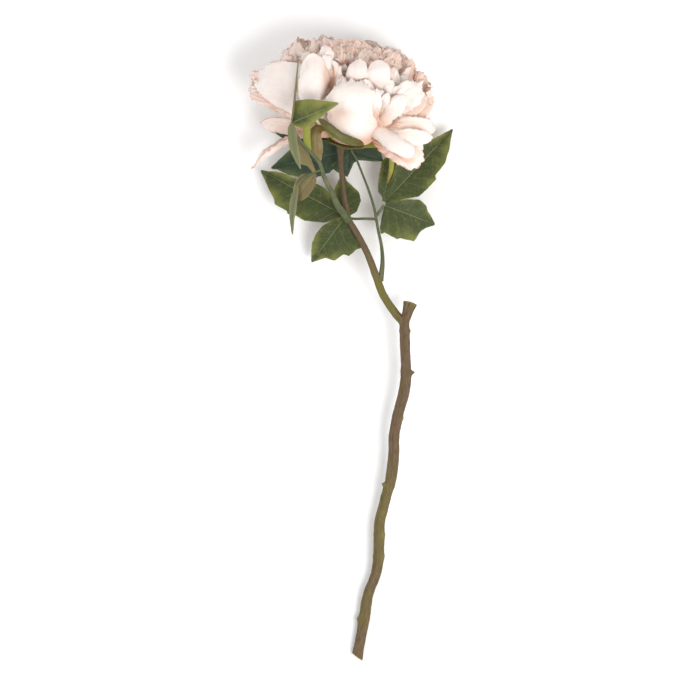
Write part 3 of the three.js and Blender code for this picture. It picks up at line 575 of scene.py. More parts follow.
# The petals that face up.
FRONT_PETALS = [
    # the broad one on the left, and the one below it whose rim shows
    laid(-40, 0.02,
         [(-15, 209, 56), (-34, 219, 76), (-54, 231, 84), (-72, 241, 76), (-88, 246, 60)],
         [4, 13, 17, 16, 10], [8, 28, 36, 24, 10], round=0.08, fray=1.2, ruffle=0.7, pitch=24,
         crease=0.7, shade=2.6, blush=[(0.62, -0.1, 0.12, 0.2, 0.15)]),
    laid(-25, 0.6, [(-14, 203, 46), (-45, 218, 60), (-72, 230, 60), (-92, 238, 52)],
         [5, 11, 13, 10], [8, 20, 23, 19], round=0.08, fray=2.6, ruffle=1.3, pitch=12),
    # the tall one beside it, and its curled neighbour, each with painted shade where it turns away
    laid(-75, 0.04,
         [(-12, 203, 62), (-24, 213, 90), (-33, 230, 103), (-34, 249, 103), (-33, 267, 92)],
         [4, 11, 17, 17, 14], [4, 14, 19, 19, 16], round=0.14, fray=1.0, ruffle=0.9, pitch=18,
         crease=0.4, curl=0.4, shade=2.6, blush=[(0.7, 0.8, 0.5, 0.3, 1.25)]),
    laid(55, 0.8, [(-18, 220, 82), (-15, 238, 91), (-15, 251, 92), (-20, 262, 85)], [6, 8, 9, 6],
         [4, 6, 6, 4], fray=0.8, ruffle=0.5, crease=0.4),
    laid(-60, 0.0, [(-15, 232, 92), (-12.5, 245, 96), (-14, 256, 95), (-20, 262, 89)],
         [2, 2.5, 2.5, 2], [2, 3, 3, 2], fray=0.5, ruffle=0.3, crease=0.3),
    # the great bulging one in front, with painted shade along its fold on the left
    laid(-70, 0.0,
         [(17, 186.5, 62), (12, 197, 90), (6, 211, 110), (3, 225, 121), (2, 236, 119),
          (2, 244, 108)],
         [5, 15, 28, 35, 33, 22], [5, 12, 25, 33, 31, 20], round=0.1, fray=1.0, ruffle=1.5, reach=5,
         pitch=10, crease=0.35, dents=[(0.6, -0.5, 0.1, 0.4, -5.0), (0.86, -0.4, 0.12, 0.4, 2.0)],
         shade=3.2, blush=[(0.5, -0.75, 0.2, 0.4, 0.5), (0.6, -0.4, 0.07, 0.35, 0.5)]),
    # the rolled one and those round it on the lower right, with painted shade in the roll and folds
    laid(-85, 0.0, [(12, 204, 64), (25, 197, 86), (42, 185, 104), (57, 175, 103)], [8, 11, 11, 9],
         round=0.08, fray=0.6, ruffle=0.5, crease=0.2, shade=2.5, curl=0.5),
    laid(70, 1.0, [(34, 186, 90), (45, 177, 95), (58, 170, 92)], [5, 7, 5], fray=0.6, ruffle=0.4,
         crease=0.4),
    laid(-30, 0.1, [(18, 196, 60), (34, 184, 74), (50, 174, 75), (64, 166, 66)], [8, 18, 24, 21],
         [4, 9, 10, 9], round=0.15, fray=2.0, ruffle=1.3, pitch=11,
         blush=[(0.7, -0.5, 0.16, 0.3, 0.8)]),
    laid(24, 0.15, [(14, 206, 66), (44, 204, 92), (60, 202, 90), (76, 198, 82)], [3, 5, 8, 8],
         [3, 9, 11, 9], round=0.12, fray=2.0, ruffle=1.3, pitch=10, crease=0.5,
         blush=[(0.3, 0.0, 0.25, 0.8, 0.8), (0.75, 0.2, 0.1, 0.4, 0.5)]),
    laid(-34, 0.0, [(14, 202, 64), (47, 194, 97), (62, 192, 97), (75, 191, 88)], [3, 5, 6, 6],
         [3, 8, 10, 7], round=0.15, fray=1.4, ruffle=1.0, pitch=12, crease=0.5),
    # the pale crinkled ones on the right, over the stacked ones painted warm for their shade
    laid(-32, 0.06, [(12, 208, 66), (44, 226, 103), (56, 234, 102), (65, 240, 90)], [6, 9, 12, 9],
         [8, 14, 15, 11], round=0.16, fray=1.4, ruffle=1.4, pitch=10, crease=1.1,
         blush=[(0.75, 0.5, 0.05, 0.25, 0.4)]),
    laid(-40, 0.08, [(12, 204, 66), (36, 217, 107), (45, 224, 109), (54, 229, 102)], [5, 9, 9, 6],
         [6, 12, 10, 6], round=0.14, fray=1.2, ruffle=1.0, crease=1.0,
         blush=[(0.3, 0.6, 0.2, 0.4, 0.35)]),
    laid(-30, 0.85, [(14, 203, 62), (44, 214, 91), (58, 222, 90), (68, 229, 82)], [6, 8, 9, 8],
         [6, 9, 10, 8], round=0.1, fray=0.9, ruffle=1.2, pitch=16),
    laid(-30, 0.85, [(14, 200, 58), (46, 209, 82), (62, 216, 80), (71, 222, 72)], [6, 8, 9, 9],
         [5, 8, 10, 9], round=0.1, fray=0.9, ruffle=1.2, pitch=16),
    # smooth pale ones in the middle, and the hollow before them, painted warm for its shade
    laid(-50, 0.04, [(5, 216, 70), (6, 232, 96), (7, 250, 106), (9, 263, 97)], [6, 10, 12, 10],
         [6, 9, 11, 9], round=0.1, fray=0.9, ruffle=0.9, crease=0.5,
         blush=[(0.55, -0.5, 0.15, 0.3, 0.5)]),
    laid(-50, 0.5, [(-2, 216, 70), (-3, 234, 94), (-1, 247, 101), (0, 258, 98)], [4, 5, 5, 4],
         fray=1.0, ruffle=0.9),
    laid(-50, 0.0, [(12, 212, 64), (23, 230, 96), (25, 249, 106), (25, 262, 98)], [7, 10, 12, 10],
         [7, 10, 12, 11], round=0.08, fray=0.5, ruffle=0.4, crease=0.25, curl=0.8),
    laid(65, 1.0, [(22, 208, 78), (24, 222, 97), (26, 238, 94)], [7, 9, 8], fray=0.7, ruffle=0.6),
    laid(-30, 0.08, [(26, 214, 80), (33, 232, 102), (38, 244, 101)], [4, 6, 6], fray=1.6,
         ruffle=1.4, pitch=8),
    laid(-30, 0.3, [(24, 208, 86), (29, 222, 108), (34, 232, 110)], [4, 5, 5], fray=1.2, ruffle=1.3,
         pitch=7),
    laid(-34, 0.2, [(24, 216, 74), (34, 238, 92), (40, 255, 90)], [5, 8, 9], [5, 8, 8], fray=1.8,
         ruffle=1.7, pitch=8, crease=1.6),
    laid(-30, 0.35, [(26, 212, 74), (41, 234, 90), (50, 248, 85)], [5, 8, 8], fray=1.6, ruffle=1.6,
         pitch=9, crease=1.6),
    # frills above the bulging one
    laid(-40, 0.05, [(-6, 208, 86), (-9, 228, 108), (-8, 248, 104)], [5, 7, 5], [5, 8, 6], fray=1.4,
         ruffle=1.4, pitch=8),
    laid(-40, 0.0, [(-10, 210, 78), (-11, 236, 98), (-10, 256, 97)], [2, 3, 3], fray=1.2,
         ruffle=1.0, pitch=7),
    laid(-36, 0.12, [(10, 206, 84), (14, 228, 108), (15, 244, 106)], [6, 9, 9], [6, 8, 8], fray=1.2,
         ruffle=1.5, pitch=8),
    laid(-30, 0.1, [(18, 204, 84), (22, 222, 112), (24, 236, 112)], [5, 7, 7], [5, 6, 6], fray=1.2,
         ruffle=1.5, pitch=7),
    # white frills over the tall one
    laid(-50, 0.0, [(-16, 214, 70), (-21, 246, 90), (-22, 257, 93), (-23, 267, 88)], [5, 8, 9, 8],
         [5, 8, 10, 9], fray=1.0, ruffle=1.2, pitch=12, crease=0.5),
    laid(-40, 0.25, [(-16, 218, 64), (-23, 254, 83), (-23, 266, 86), (-24, 275, 79)], [5, 8, 9, 8],
         [5, 8, 10, 10], fray=1.4, ruffle=1.5, pitch=10),
    laid(-40, 0.05, [(-22, 212, 70), (-37, 250, 90), (-36, 261, 94), (-35, 268, 89)], [4, 5, 6, 5],
         [4, 5, 5, 4], fray=1.6, ruffle=1.4, pitch=8),
]

# The petals behind those, round the top of the bloom, with deep ragged rims; their beige is partly
# their own colour and partly painted shade.
BACK_PETALS = [
    laid(-28, 0.5, [(-14, 214, 54), (-42, 252, 70), (-48, 267, 64), (-51, 279, 55)], [6, 11, 12, 8],
         [6, 11, 11, 7]),
    laid(-28, 0.4, [(-14, 212, 52), (-47, 249, 64), (-56, 263, 58), (-62, 272, 50)], [6, 11, 11, 7],
         [6, 11, 11, 8]),
    laid(-28, 0.45, [(-14, 210, 50), (-52, 243, 60), (-64, 253, 56), (-74, 259, 47)],
         [6, 11, 12, 8]),
    laid(-28, 0.45, [(-10, 218, 58), (-33, 258, 72), (-34, 270, 71), (-34, 282, 63)],
         [5, 7, 6, 2.5], [5, 7, 7, 2.5], round=0.05),
    laid(-28, 0.55, [(-8, 220, 56), (-22, 260, 70), (-23, 273, 66), (-23, 283, 57)], [5, 7, 7, 4],
         [5, 7, 8, 6]),
    laid(30, 1.0, [(0, 220, 54), (-2, 258, 70), (-1, 271, 65), (0, 281, 54)], [8, 17, 21, 20],
         [8, 16, 20, 17], fray=2.0, ruffle=2.2, pitch=10),
    laid(50, 0.7, [(4, 220, 58), (10, 252, 80), (12, 264, 79), (13, 272, 71)], [4, 5, 6, 4],
         [4, 5, 5, 4], fray=1.2, ruffle=1.0),
    laid(-28, 0.7, [(6, 219, 54), (21, 254, 70), (24, 265, 66), (25, 273, 56)], [6, 10, 12, 10],
         pitch=7),
    laid(-28, 0.95, [(8, 217, 54), (31, 250, 68), (38, 261, 62), (42, 269, 52)], [6, 11, 12, 9]),
    laid(-28, 1.0, [(10, 214, 52), (39, 241, 66), (50, 253, 59), (57, 261, 49)], [6, 12, 13, 10]),
    laid(-28, 1.0, [(12, 210, 50), (47, 233, 63), (60, 242, 57), (69, 247, 47)], [6, 12, 13, 10]),
    laid(-28, 0.95, [(12, 206, 48), (50, 221, 60), (64, 228, 55), (73, 230, 46)], [6, 12, 14, 11],
         [6, 12, 13, 11]),
]

# Smaller petals between the outer ones on the sides that the camera doesn't see.
FILLER_PETALS = [
    ringed(222, 8, (10, 12), 92, (14, 60, 104), 26, 30, 0.4),
    ringed(262, 10, (10, 12), 90, (14, 60, 104), 28, 30, 0.4),
    ringed(300, 10, (10, 12), 88, (14, 60, 102), 28, 30, 0.45),
    ringed(336, 8, (10, 12), 84, (16, 60, 100), 26, 30, 0.4),
    ringed(190, 8, (10, 16), 82, (20, 60, 100), 24, 30, 0.3),
    ringed(272, 10, (10, 14), 84, (12, 56, 104), 30, 34, 0.5),
    ringed(240, 10, (10, 14), 82, (14, 58, 104), 28, 34, 0.45),
    ringed(316, 10, (10, 14), 80, (14, 58, 104), 28, 34, 0.5),
    ringed(280, 0, (8, 20), 76, (24, 66, 104), 26, 34, 0.6),
    ringed(250, 0, (8, 22), 74, (24, 68, 104), 24, 34, 0.5),
    ringed(205, 0, (8, 20), 76, (24, 66, 104), 24, 34, 0.4),
    ringed(316, 0, (8, 20), 74, (24, 66, 104), 24, 34, 0.5),
]

# Ragged frills between the petals round the top: where the arc that they follow starts, turns and
# ends as the camera sees it, how many stand on it, their height, length, half-width and tone, and
# how far below the arc they are rooted.
FRILL_ROWS = [
    ([(-66, 261), (-44, 273), (-14, 278)], 13, 66, 20, 5.5, 0.35, 9),
    ([(-50, 264), (-34, 269), (-14, 270)], 9, 74, 20, 5.5, 0.25, 9),
    ([(-14, 281), (16, 277), (44, 265)], 15, 66, 18, 5.0, 0.7, 9),
    ([(-12, 275), (16, 271), (46, 258)], 15, 75, 19, 5.5, 0.85, 9),
    ([(-16, 268), (12, 265), (40, 253)], 14, 82, 17, 4.8, 0.6, 9),
    ([(-10, 256), (8, 258), (26, 250)], 8, 88, 15, 4.5, 0.4, 9),
    ([(44, 262), (66, 246), (76, 222)], 11, 56, 20, 6.0, 0.8, 9),
    ([(40, 254), (58, 240), (68, 222)], 10, 68, 18, 5.5, 0.7, 9),
    ([(-86, 250), (-91, 243), (-91, 236)], 5, 60, 13, 4.0, 0.5, 0),
]
FRILL_MIDDLE = (-2.0, 214.0)  # the frills lean out from here


def frill_petals(rng):
    """The petals of the frill rows."""
    petals = []
    for arc, count, high, long, wide, tone, sink in FRILL_ROWS:
        line = smooth_curve([(x, y, 0) for x, y in arc], count - 1)[0][:, :2]
        for top in line:
            top = top + np.array([rng.uniform(-2.5, 2.5), rng.uniform(-2, 2)])
            out = (top - FRILL_MIDDLE) / np.linalg.norm(top - FRILL_MIDDLE)
            aside = np.array([-out[1], out[0]]) * rng.uniform(-3, 3)
            length = long * rng.uniform(0.8, 1.2)
            root = top - out * length - aside
            half = top - out * length * 0.45
            height = high + rng.uniform(-4, 4)
            width = wide * rng.uniform(0.75, 1.25)
            petals.append(laid(
                rng.uniform(-50, 30), tone + rng.uniform(-0.2, 0.25),
                [(*root, height - sink), (*half, height), (*top, height - 5)],
                [width * 0.6, width, width * 0.85],
                fray=rng.uniform(1.2, 2.4), ruffle=rng.uniform(1.6, 2.6), pitch=rng.uniform(6, 9),
                crease=1.1,
            ))
    return petals


def turned_profile(profile, sides, steps):
    """Rings of points of a profile turned about the bloom's axis, from its foot up."""
    corners = np.array(profile[::-1], float)
    lengths = np.concatenate([[0], np.cumsum(np.linalg.norm(np.diff(corners, axis=0), axis=1))])
    even = np.linspace(0, lengths[-1], steps)
    radius = np.maximum(np.interp(even, lengths, corners[:, 0]), 0.05)
    height = np.interp(even, lengths, corners[:, 1])
    angle = np.arange(sides) / sides * 2 * math.pi
    rings = np.stack([radius[:, None] * np.cos(angle), radius[:, None] * np.sin(angle),
                      np.broadcast_to(height[:, None], (steps, sides))], -1)
    return rings, angle


def faces_up(petal):
    """Whether a petal lies on the side that the placed front petals fill."""
    return FRONT_SIDE[0] < (petal["azimuth"] + petal["yaw"]) % 360 < FRONT_SIDE[1]


def make_bloom(cloth):
    rng = random.Random(SEED)
    outer = Piece()
    for petal in GUARD_PETALS:
        add_petal(outer, petal, rng, GUARD_GRID)
    outer.build("bloom_outer_petals", [cloth], "petals", "bloom")

    front = Piece()
    for petal in FRONT_PETALS:
        add_laid_petal(front, petal, rng, FRONT_GRID)
    front.build("bloom_front_petals", [cloth], "petals", "bloom")

    back = Piece()
    for petal in BACK_PETALS:
        add_laid_petal(back, {**BACK_LOOKS, **petal}, rng, BACK_GRID)
    for petal in frill_petals(rng):
        add_laid_petal(back, petal, rng, FRILL_GRID)
    back.build("bloom_back_petals", [cloth], "petals", "bloom")

    inner = Piece(outer.resting)
    rings, angle = turned_profile(CORE_PROFILE, CORE_SIDES, CORE_STEPS)
    rings[..., :2] *= CORE_SHARE
    up_core = np.arange(CORE_STEPS)[:, None] / 10
    uvs = np.stack(np.broadcast_arrays(angle[None, :], up_core), -1)
    # the heart is tinted with the deepest painted peach shade and a beige tone
    inner.rings(on_bloom(rings), tinted(rings.shape[:2], 0, 1, 0.6), uvs)
    for petal in ring_petals():
        if not faces_up(petal):
            add_petal(inner, petal, rng, INNER_GRID)
    for petal in FILLER_PETALS:
        looks = dict(wave=1.8, phase=rng.uniform(0, 6), fray=2.0, ruffle=1.8, pitch=12)
        add_petal(inner, {**looks, **petal}, rng, FILLER_GRID)
    inner.build("bloom_inner_petals", [cloth], "petals", "bloom")


# ---- stem

STEM_LINE = [
    (5.4, -278.1), (11.7, -244.8), (15.3, -222.3), (22.5, -203.4), (24.75, -189.9),
    (25.65, -167.4), (26.1, -155.7), (29.7, -141.3), (32.4, -130.5), (35.55, -118.8),
    (37.8, -102.6), (38.7, -90), (38.7, -79.2), (40.5, -67.5), (43.2, -54.9),
    (46.8, -42.3), (49.05, -29.7), (49.5, -17.1), (49.05, -0.9), (48.6, 14.4), (47.9, 31),
]
STUB_LINE = [(48, 17), (48.4, 25.2), (50.9, 34), (53.6, 43.5)]
BRANCH_LINE = [
    (49.2, 15), (47, 24.5), (40.4, 32.5), (34, 41.4), (28.35, 50.9), (24.3, 61.4), (17.6, 80.3),
    (12.3, 92.2), (5.8, 104.7), (-1.5, 117.2), (-3.6, 125.1), (-6.1, 138.3),
    (-8.1, 154.2), (-9.1, 167.4), (-9.4, 180.6), (-8.6, 187),
]
STEM_START = STEM_LINE[0][1]
NECK_END = BRANCH_LINE[-1][1]


def raised(line):
    """The whole stem rises evenly from its cut end to the bloom."""
    slope = (NECK_HEIGHT - STEM_END_HEIGHT) / (NECK_END - STEM_START)
    return [(x, y, STEM_END_HEIGHT + (y - STEM_START) * slope) for x, y in line]


# Knots on the main stem: place along it, the side they stand out to in degrees from the right,
# how far they stand out, and how long they are.
KNOTS = [
    (0.838, -8, 3.2, 3.4),
    (0.957, 10, 0.8, 3),
    (0.110, 172, 1.6, 6),
    (0.507, 160, 2.2, 3),
    (0.3, 30, 0.7, 7),
    (0.705, 20, 0.7, 6),
    (0.362, 40, 0.7, 6),
]
CUT_SLANT = -0.6  # how far the cut end slants along the stem for each mm to the right
CUT_RINGS = 5  # rings of points that slant with it
CUT_FACE = [(0.3, 1.4), (0.62, 0.7), (0.9, 0.1)]  # breadth of the cut face's rings, and depth
NOTCH_ANGLE = 1.85  # of the groove between the stub's lobes, in radians from the right
NOTCH_DEPTH, NOTCH_WIDTH = 1.3, 0.22
DOME_END = 0.15  # share of a rounded end's area that is left at its last ring


def cut_end(rings, colors, uvs):
    """The slanting cut end of the stem: a pale face with a hollow middle."""
    across = rings[0, :, 0] - rings[0, :, 0].mean()
    for i in range(CUT_RINGS):
        rings[i, :, 1] += across * CUT_SLANT * (1 - i / CUT_RINGS)
    centre = rings[0].mean(0)
    inner = [centre + (rings[0] - centre) * share + np.array([0, depth, 0])
             for share, depth in CUT_FACE]
    face = colors[:1].copy()
    face[..., 1] = 1
    colors[0, :, 1] = 0.7
    repeat = len(CUT_FACE)
    return (np.concatenate([np.stack(inner), rings]), np.concatenate([face] * repeat + [colors]),
            np.concatenate([uvs[:1]] * repeat + [uvs]))


def bark_relief(rng, length, angle):
    """Long ridges that wander, low rings and small scars, as a share of the radius."""
    a, d = np.meshgrid(angle, length)
    drift = 1.1 * np.sin(d / 31 + 1) + 0.5 * np.sin(d / 13)
    ridges = (0.050 * np.sin(5 * a + drift) + 0.035 * np.sin(9 * a - 1.7 * drift + 2)
              + 0.018 * np.sin(17 * a + 2.3 * drift))
    rings = 0.022 * np.sin(d / 1.9 + 2 * np.sin(a)) * np.clip(np.sin(d / 17 + np.cos(a)), 0, 1)
    return ridges + rings + 0.03 * ripples(rng, d, a * 5, 9, 3)


def make_stem(bark):
    rng = random.Random(SEED + 1)
    piece = Piece()

    def limb(line, steps, radii, sides, green, knots=(), lobes=0.0, dome=0.0, cut=False):
        """One limb: lobes splits its far end in two, and dome rounds the last millimetres of it."""
        points, length = smooth_curve(raised(line), steps)
        t = np.linspace(0, 1, steps + 1)
        centre_radius = sampled(radii, t)
        if dome:
            past = np.clip((length - length[-1] + dome) / dome, 0, 1)
            centre_radius = centre_radius * np.sqrt(np.maximum(1 - past**2, DOME_END))
        angle = bar_angles(sides)
        notch = NOTCH_DEPTH * np.exp(-((angle - NOTCH_ANGLE) / NOTCH_WIDTH) ** 2)
        split = np.cos(2 * angle) - notch
        share = 1 + bark_relief(rng, length, angle) + lobes * (t**2)[:, None] * split[None, :]
        radius = centre_radius[:, None] * share
        knotted = np.zeros_like(radius)
        for at, side, out, long in knots:
            apart = length - at * length[-1]
            near = np.exp(-(apart / (long * np.where(apart < 0, 1, 0.5))) ** 2 * 2)[:, None]
            spread = np.clip(np.cos(angle - math.radians(side)), 0, 1)[None, :] ** 5
            ring = 0.06 * np.exp(-(apart / 2.2) ** 2)
            radius = radius + out * near * spread + (ring * centre_radius)[:, None]
            knotted = np.maximum(knotted, near * spread)
        rings = bar(points, radius, angle)
        greenness = np.broadcast_to(sampled(green, t)[:, None], radius.shape) + 0.35 * knotted
        pale = np.clip((length - length[-1]) / 2 + 1, 0, 1) ** 2 * (0.55 if lobes else 0)
        colors = tinted(radius.shape, greenness, pale[:, None], knotted)
        uvs = bar_uvs(angle, length)
        if cut:
            rings, colors, uvs = cut_end(rings, colors, uvs)
        piece.rings(rings, colors, uvs)

    def radii(size, *shares):
        return [size * share for share in shares]

    main = radii(STEM_RADIUS, 1, 1.02, 0.97, 1.05, 0.98, 1.06, 0.98, 1.02, 0.95, 0.93)
    limb(STEM_LINE, 420, main, 56, [0.2, 0.6, 0.4, 0.65, 0.65, 0.2, 0.15, 0.1, 0.25], KNOTS,
         dome=8, cut=True)
    stub = radii(STEM_RADIUS, 0.9, 0.92, 0.86, 0.92, 1.04, 1.2)
    limb(STUB_LINE, 70, stub, 48, [0.1, 0.1, 0.3, 0.5, 0.6], lobes=0.18, dome=1.6)
    branch = radii(BRANCH_RADIUS, 1.2, 1.14, 1.04, 1, 1, 0.97, 0.9, 0.86, 0.76)
    branch += radii(NECK_RADIUS, 1.08, 1, 0.94, 0.9, 0.92, 1.05, 2)
    limb(BRANCH_LINE, 320, branch, 40, [0.3, 0.8, 0.9, 0.5, 0.15, 0.1, 0.15, 0.25, 0.4])
    piece.build("stem_bark", [bark], "bark", "stem")


# ---- leaves

UPPER_FACE, UNDERSIDE, BLEACHED = (0, 1), (1, 0), (2, 2)  # the cloths on a blade's two faces
BLADE_ROW = 1.1  # between the rows of points along a blade
BLADE_COLUMNS = 37
BLADE_ROOT, BLADE_TIP = 1.6, 0.7  # half-widths at a blade's ends
VEIN_GAP = 8  # between the lateral veins, along the rib
VEIN_SWEEP = 0.85  # how far they sweep forwards for each mm out from the rib


def blade(base, tip, fold, arch, left, right, **looks):
    """A leaf blade: how far it folds up along its rib, how high it arches between its ends, and
    its outline on each side as places along the rib and half-widths there."""
    return dict(base=base, tip=tip, fold=fold, arch=arch, left=left, right=right, **looks)


LEFT_LEAF = [
    blade((-5.4, 120.6, 29), (-81.5, 162.5, 13), 0.16, 4,
          [(13, 14), (29, 21), (38, 21), (46, 23), (48, 21), (61, 21), (64, 17), (72, 12)],
          [(12, 10), (31, 14), (46, 12), (58, 8), (65, 8), (74, 6), (81, 3)], wave=1.2),
    blade((-5.4, 119.7, 29), (-35.6, 79.7, 14), 0.14, 3,
          [(3, 18), (7, 29), (13, 28), (15, 26), (25, 24), (27, 19), (37, 16), (40, 8)],
          [(6, 6), (12, 9), (19, 12), (28, 12), (37, 10)], wave=1.2, phase=2),
    blade((-3.6, 120.6, 28.5), (-7.2, 160.2, 22), 0.12, 1, [(11, 7), (24, 10)],
          [(3, 9), (13, 14), (20, 13), (23, 11), (32, 3)]),
]
RIGHT_LEAF = [
    blade((30.6, 133.2, 30), (91.8, 199.8, 14), 0.16, 4,
          [(14, 7), (31, 16), (50, 18), (62, 14), (72, 7)],
          [(15, 12), (24, 19), (34, 20), (46, 20), (48, 17), (63, 16), (76, 10), (84, 5)], wave=1.2,
          phase=1),
    blade((30.6, 130.5, 30), (75.6, 113.4, 20), 0.14, 3,
          [(5, 6), (16, 12), (27, 16), (35, 13), (38, 9), (43, 6)],
          [(2, 20), (5, 26), (8, 23), (20, 25), (22, 23), (36, 21), (38, 11), (42, 6)], wave=1.2,
          phase=3),
    blade((29.7, 134.1, 30), (36.9, 178.2, 24), 0.12, 2, [(3, 2), (8, 7), (18, 8), (35, 8)],
          [(11, 6), (25, 8), (38, 6)]),
]
BACK_LEAF = [
    blade((-1.8, 180, 29), (-72, 164.7, 16), 0.12, 3, [(21, 16), (38, 18), (58, 10), (67, 3)],
          [(10, 11), (25, 16), (42, 16), (51, 13), (62, 7)], wave=1),
    blade((-1.8, 180, 29), (-3.6, 156.6, 25), 0.1, 1, [(6, 12), (11, 5)], [(15, 16), (20, 10)]),
    blade((-1.8, 180, 29), (28.8, 171, 25), 0.1, 1, [(9, 12), (20, 14), (28, 7)],
          [(11, 6), (21, 4)]),
    blade((-1.8, 180, 28.5), (-81, 206, 9), 0.05, -4, [(20, 5), (40, 8), (62, 8), (76, 4)],
          [(20, 5), (40, 8), (62, 7), (76, 4)]),
]
TOP_LEAF = [
    blade((-52.5, 201, 113), (-11.2, 217.6, 126), -0.25, 3,
          [(8, 17), (14, 16), (22, 14), (30, 10), (39, 5)], [(8, 9), (18, 8), (29, 5), (36, 3)],
          light=0.85),
    blade((-52.5, 201, 113.5), (-45, 161, 99), 0.2, 2, [(4, 6), (10, 6), (22, 6), (34, 4)],
          [(4, 4), (10, 5), (22, 6), (34, 3)], roll=48, faces=BLEACHED),
    blade((-52.5, 201, 113), (-46.3, 257.4, 122), 0.3, 0, [(18, 3.5), (36, 2.5), (48, 1)],
          [(18, 3.5), (36, 2.5), (48, 1)], roll=82, faces=UNDERSIDE),
]
SIDE_LEAF = [
    blade((-32, 157.5, 79.5), (-50.5, 133, 71), 0.1, 2, [(5, 6), (12, 8), (20, 8), (26, 6)],
          [(4, 5), (8, 9), (14, 10), (22, 8), (27, 5)], roll=12, faces=UNDERSIDE),
    blade((-32, 157.5, 79.5), (-50, 193, 96), 0.1, 2, [(10, 3), (15, 8), (22, 8), (33, 5)],
          [(10, 2), (20, 3), (33, 2)], faces=UNDERSIDE),
    blade((-47.5, 146.5, 77.5), (-52.4, 103.5, 60), 0.2, 2, [(10, 5), (22, 6), (36, 3)],
          [(10, 5), (22, 6), (36, 3)], roll=56, faces=BLEACHED),
]


def add_blade(piece, shape, rng):
    """One leaf blade with lobes, a folded rib and low swellings between its veins."""
    start = np.array(shape["base"], float)
    axis = np.array(shape["tip"], float) - start
    length = np.linalg.norm(axis)
    axis /= length
    flat = np.array([-axis[1], axis[0], 0])
    flat /= np.linalg.norm(flat)
    across = turned_about(flat[None], axis, math.radians(shape.get("roll", 0)))[0]
    normal = np.cross(axis, across)
    normal /= np.linalg.norm(normal)

    rows = max(int(length / BLADE_ROW), 20)
    s = np.linspace(0, length, rows)
    v = np.linspace(-1, 1, BLADE_COLUMNS)
    nicks = [0.25 * teeth(rng, rows, 4) for _ in range(2)]
    widths = []
    for side, nick in zip((shape["left"], shape["right"]), nicks):
        outline = [(0, BLADE_ROOT)] + [p for p in side if p[0] > 1] + [(length, BLADE_TIP)]
        widths.append(np.maximum(np.interp(s, *np.array(outline).T) + nick, 0.4))
    w = np.where(v[None, :] > 0, widths[0][:, None], widths[1][:, None]) * v[None, :]
    t = (s / length)[:, None]
    rise = (shape["fold"] * np.abs(w) + shape["arch"] * 4 * t * (1 - t)
            + shape.get("wave", 0) * np.sin(5 * math.pi * t + shape.get("phase", 0) + v)
            * np.abs(v) * np.sin(math.pi * t))
    s2 = np.broadcast_to(s[:, None], w.shape)
    vein = np.cos(2 * math.pi * (s2 - VEIN_SWEEP * np.abs(w)) / VEIN_GAP)
    rise = rise - 0.22 * np.clip(vein, 0.2, 1) * np.minimum(np.abs(w) / 3, 1)
    rise = rise - 0.35 * np.exp(-np.abs(w) / 0.6)
    rise = rise + 0.35 * ripples(rng, s2, w, 17) * np.abs(v)
    grid = start + axis * s2[..., None] + across * w[..., None] + normal * rise[..., None]
    edge = np.broadcast_to(np.abs(v)[None, :], w.shape)
    colors = tinted(w.shape, edge, np.broadcast_to(t, w.shape), shape.get("light", 0.5))
    slots = shape.get("faces", UPPER_FACE)
    piece.shell(grid, BLADE_THICKNESS, colors, np.stack([s2, w], -1) / UV_SIZE, slots)


def make_leaf(name, node, blades, materials):
    rng = random.Random(name)
    piece = Piece()
    for shape in blades:
        add_blade(piece, shape, rng)
    piece.build(name, materials, "leaves", node)


# ---- stalks

LOWER_STALK = [
    (26.6, 62, 33), (28.4, 79.2, 32.5), (27.5, 93.6, 32), (24.8, 106.7, 31.5), (22.9, 117.3, 31),
    (20.9, 127.8, 31), (16.9, 141.3, 31), (11, 156.9, 31.2), (4.4, 172.8, 31.3), (0, 180, 31.2),
]
LEFT_SIDE_STALK = [(22.9, 118, 31), (12, 118.4, 30.5), (2, 118.4, 30), (-4.5, 120, 29.5)]
RIGHT_SIDE_STALK = [(22.2, 120, 31), (26, 125, 31), (29.5, 130.5, 30.5)]
UPPER_STALK = [
    (-2.2, 116.5, 40.5), (-5.6, 121.6, 44.5), (-11.4, 129, 50), (-17.1, 141.3, 60),
    (-23.4, 153, 72), (-28.3, 167, 84), (-34.5, 173.9, 92), (-43, 183.6, 101),
    (-49.4, 193, 108), (-51.9, 200, 112),
]
UPPER_SIDE_STALK = [(-26.4, 161, 79), (-33.8, 157.8, 80), (-41.4, 153.9, 80), (-48, 147, 78)]
STALK_SIDES = 20


def add_stalk(piece, line, radii, steps):
    """A thin stalk with a groove along its top and faint ridges."""
    points, length = smooth_curve(line, steps)
    t = np.linspace(0, 1, steps + 1)
    angle = bar_angles(STALK_SIDES)
    groove = -0.16 * np.clip(np.cos(angle - math.pi / 2), 0, 1) ** 6
    ridges = 0.05 * np.sin(4 * angle) + groove
    swell = 0.06 * np.sin(length / 7) * np.sin(length / 23)
    radius = sampled(radii, t)[:, None] * (1 + ridges[None, :] + swell[:, None])
    colors = tinted(radius.shape, t[:, None], 0, 0.5)
    piece.rings(bar(points, radius, angle), colors, bar_uvs(angle, length))


def make_stalks(plastic):
    lower = Piece()
    add_stalk(lower, LOWER_STALK, [2.7, 1.9, 1.5, 1.25, 1.15, 1.05, 1, 1], 120)
    add_stalk(lower, LEFT_SIDE_STALK, [1.3, 1.15, 1.15], 40)
    add_stalk(lower, RIGHT_SIDE_STALK, [1.4, 1.3], 20)
    lower.build("lower_leaf_stalks", [plastic], "stalks", "leaf_stalk_lower")
    upper = Piece()
    add_stalk(upper, UPPER_STALK, [3.6, 3, 2.4, 2, 1.7, 1.4, 1.2, 1.1], 120)
    add_stalk(upper, UPPER_SIDE_STALK, [1.1, 1, 1], 30)
    upper.build("upper_leaf_stalks", [plastic], "stalks", "leaf_stalk_upper")


# ---- calyx

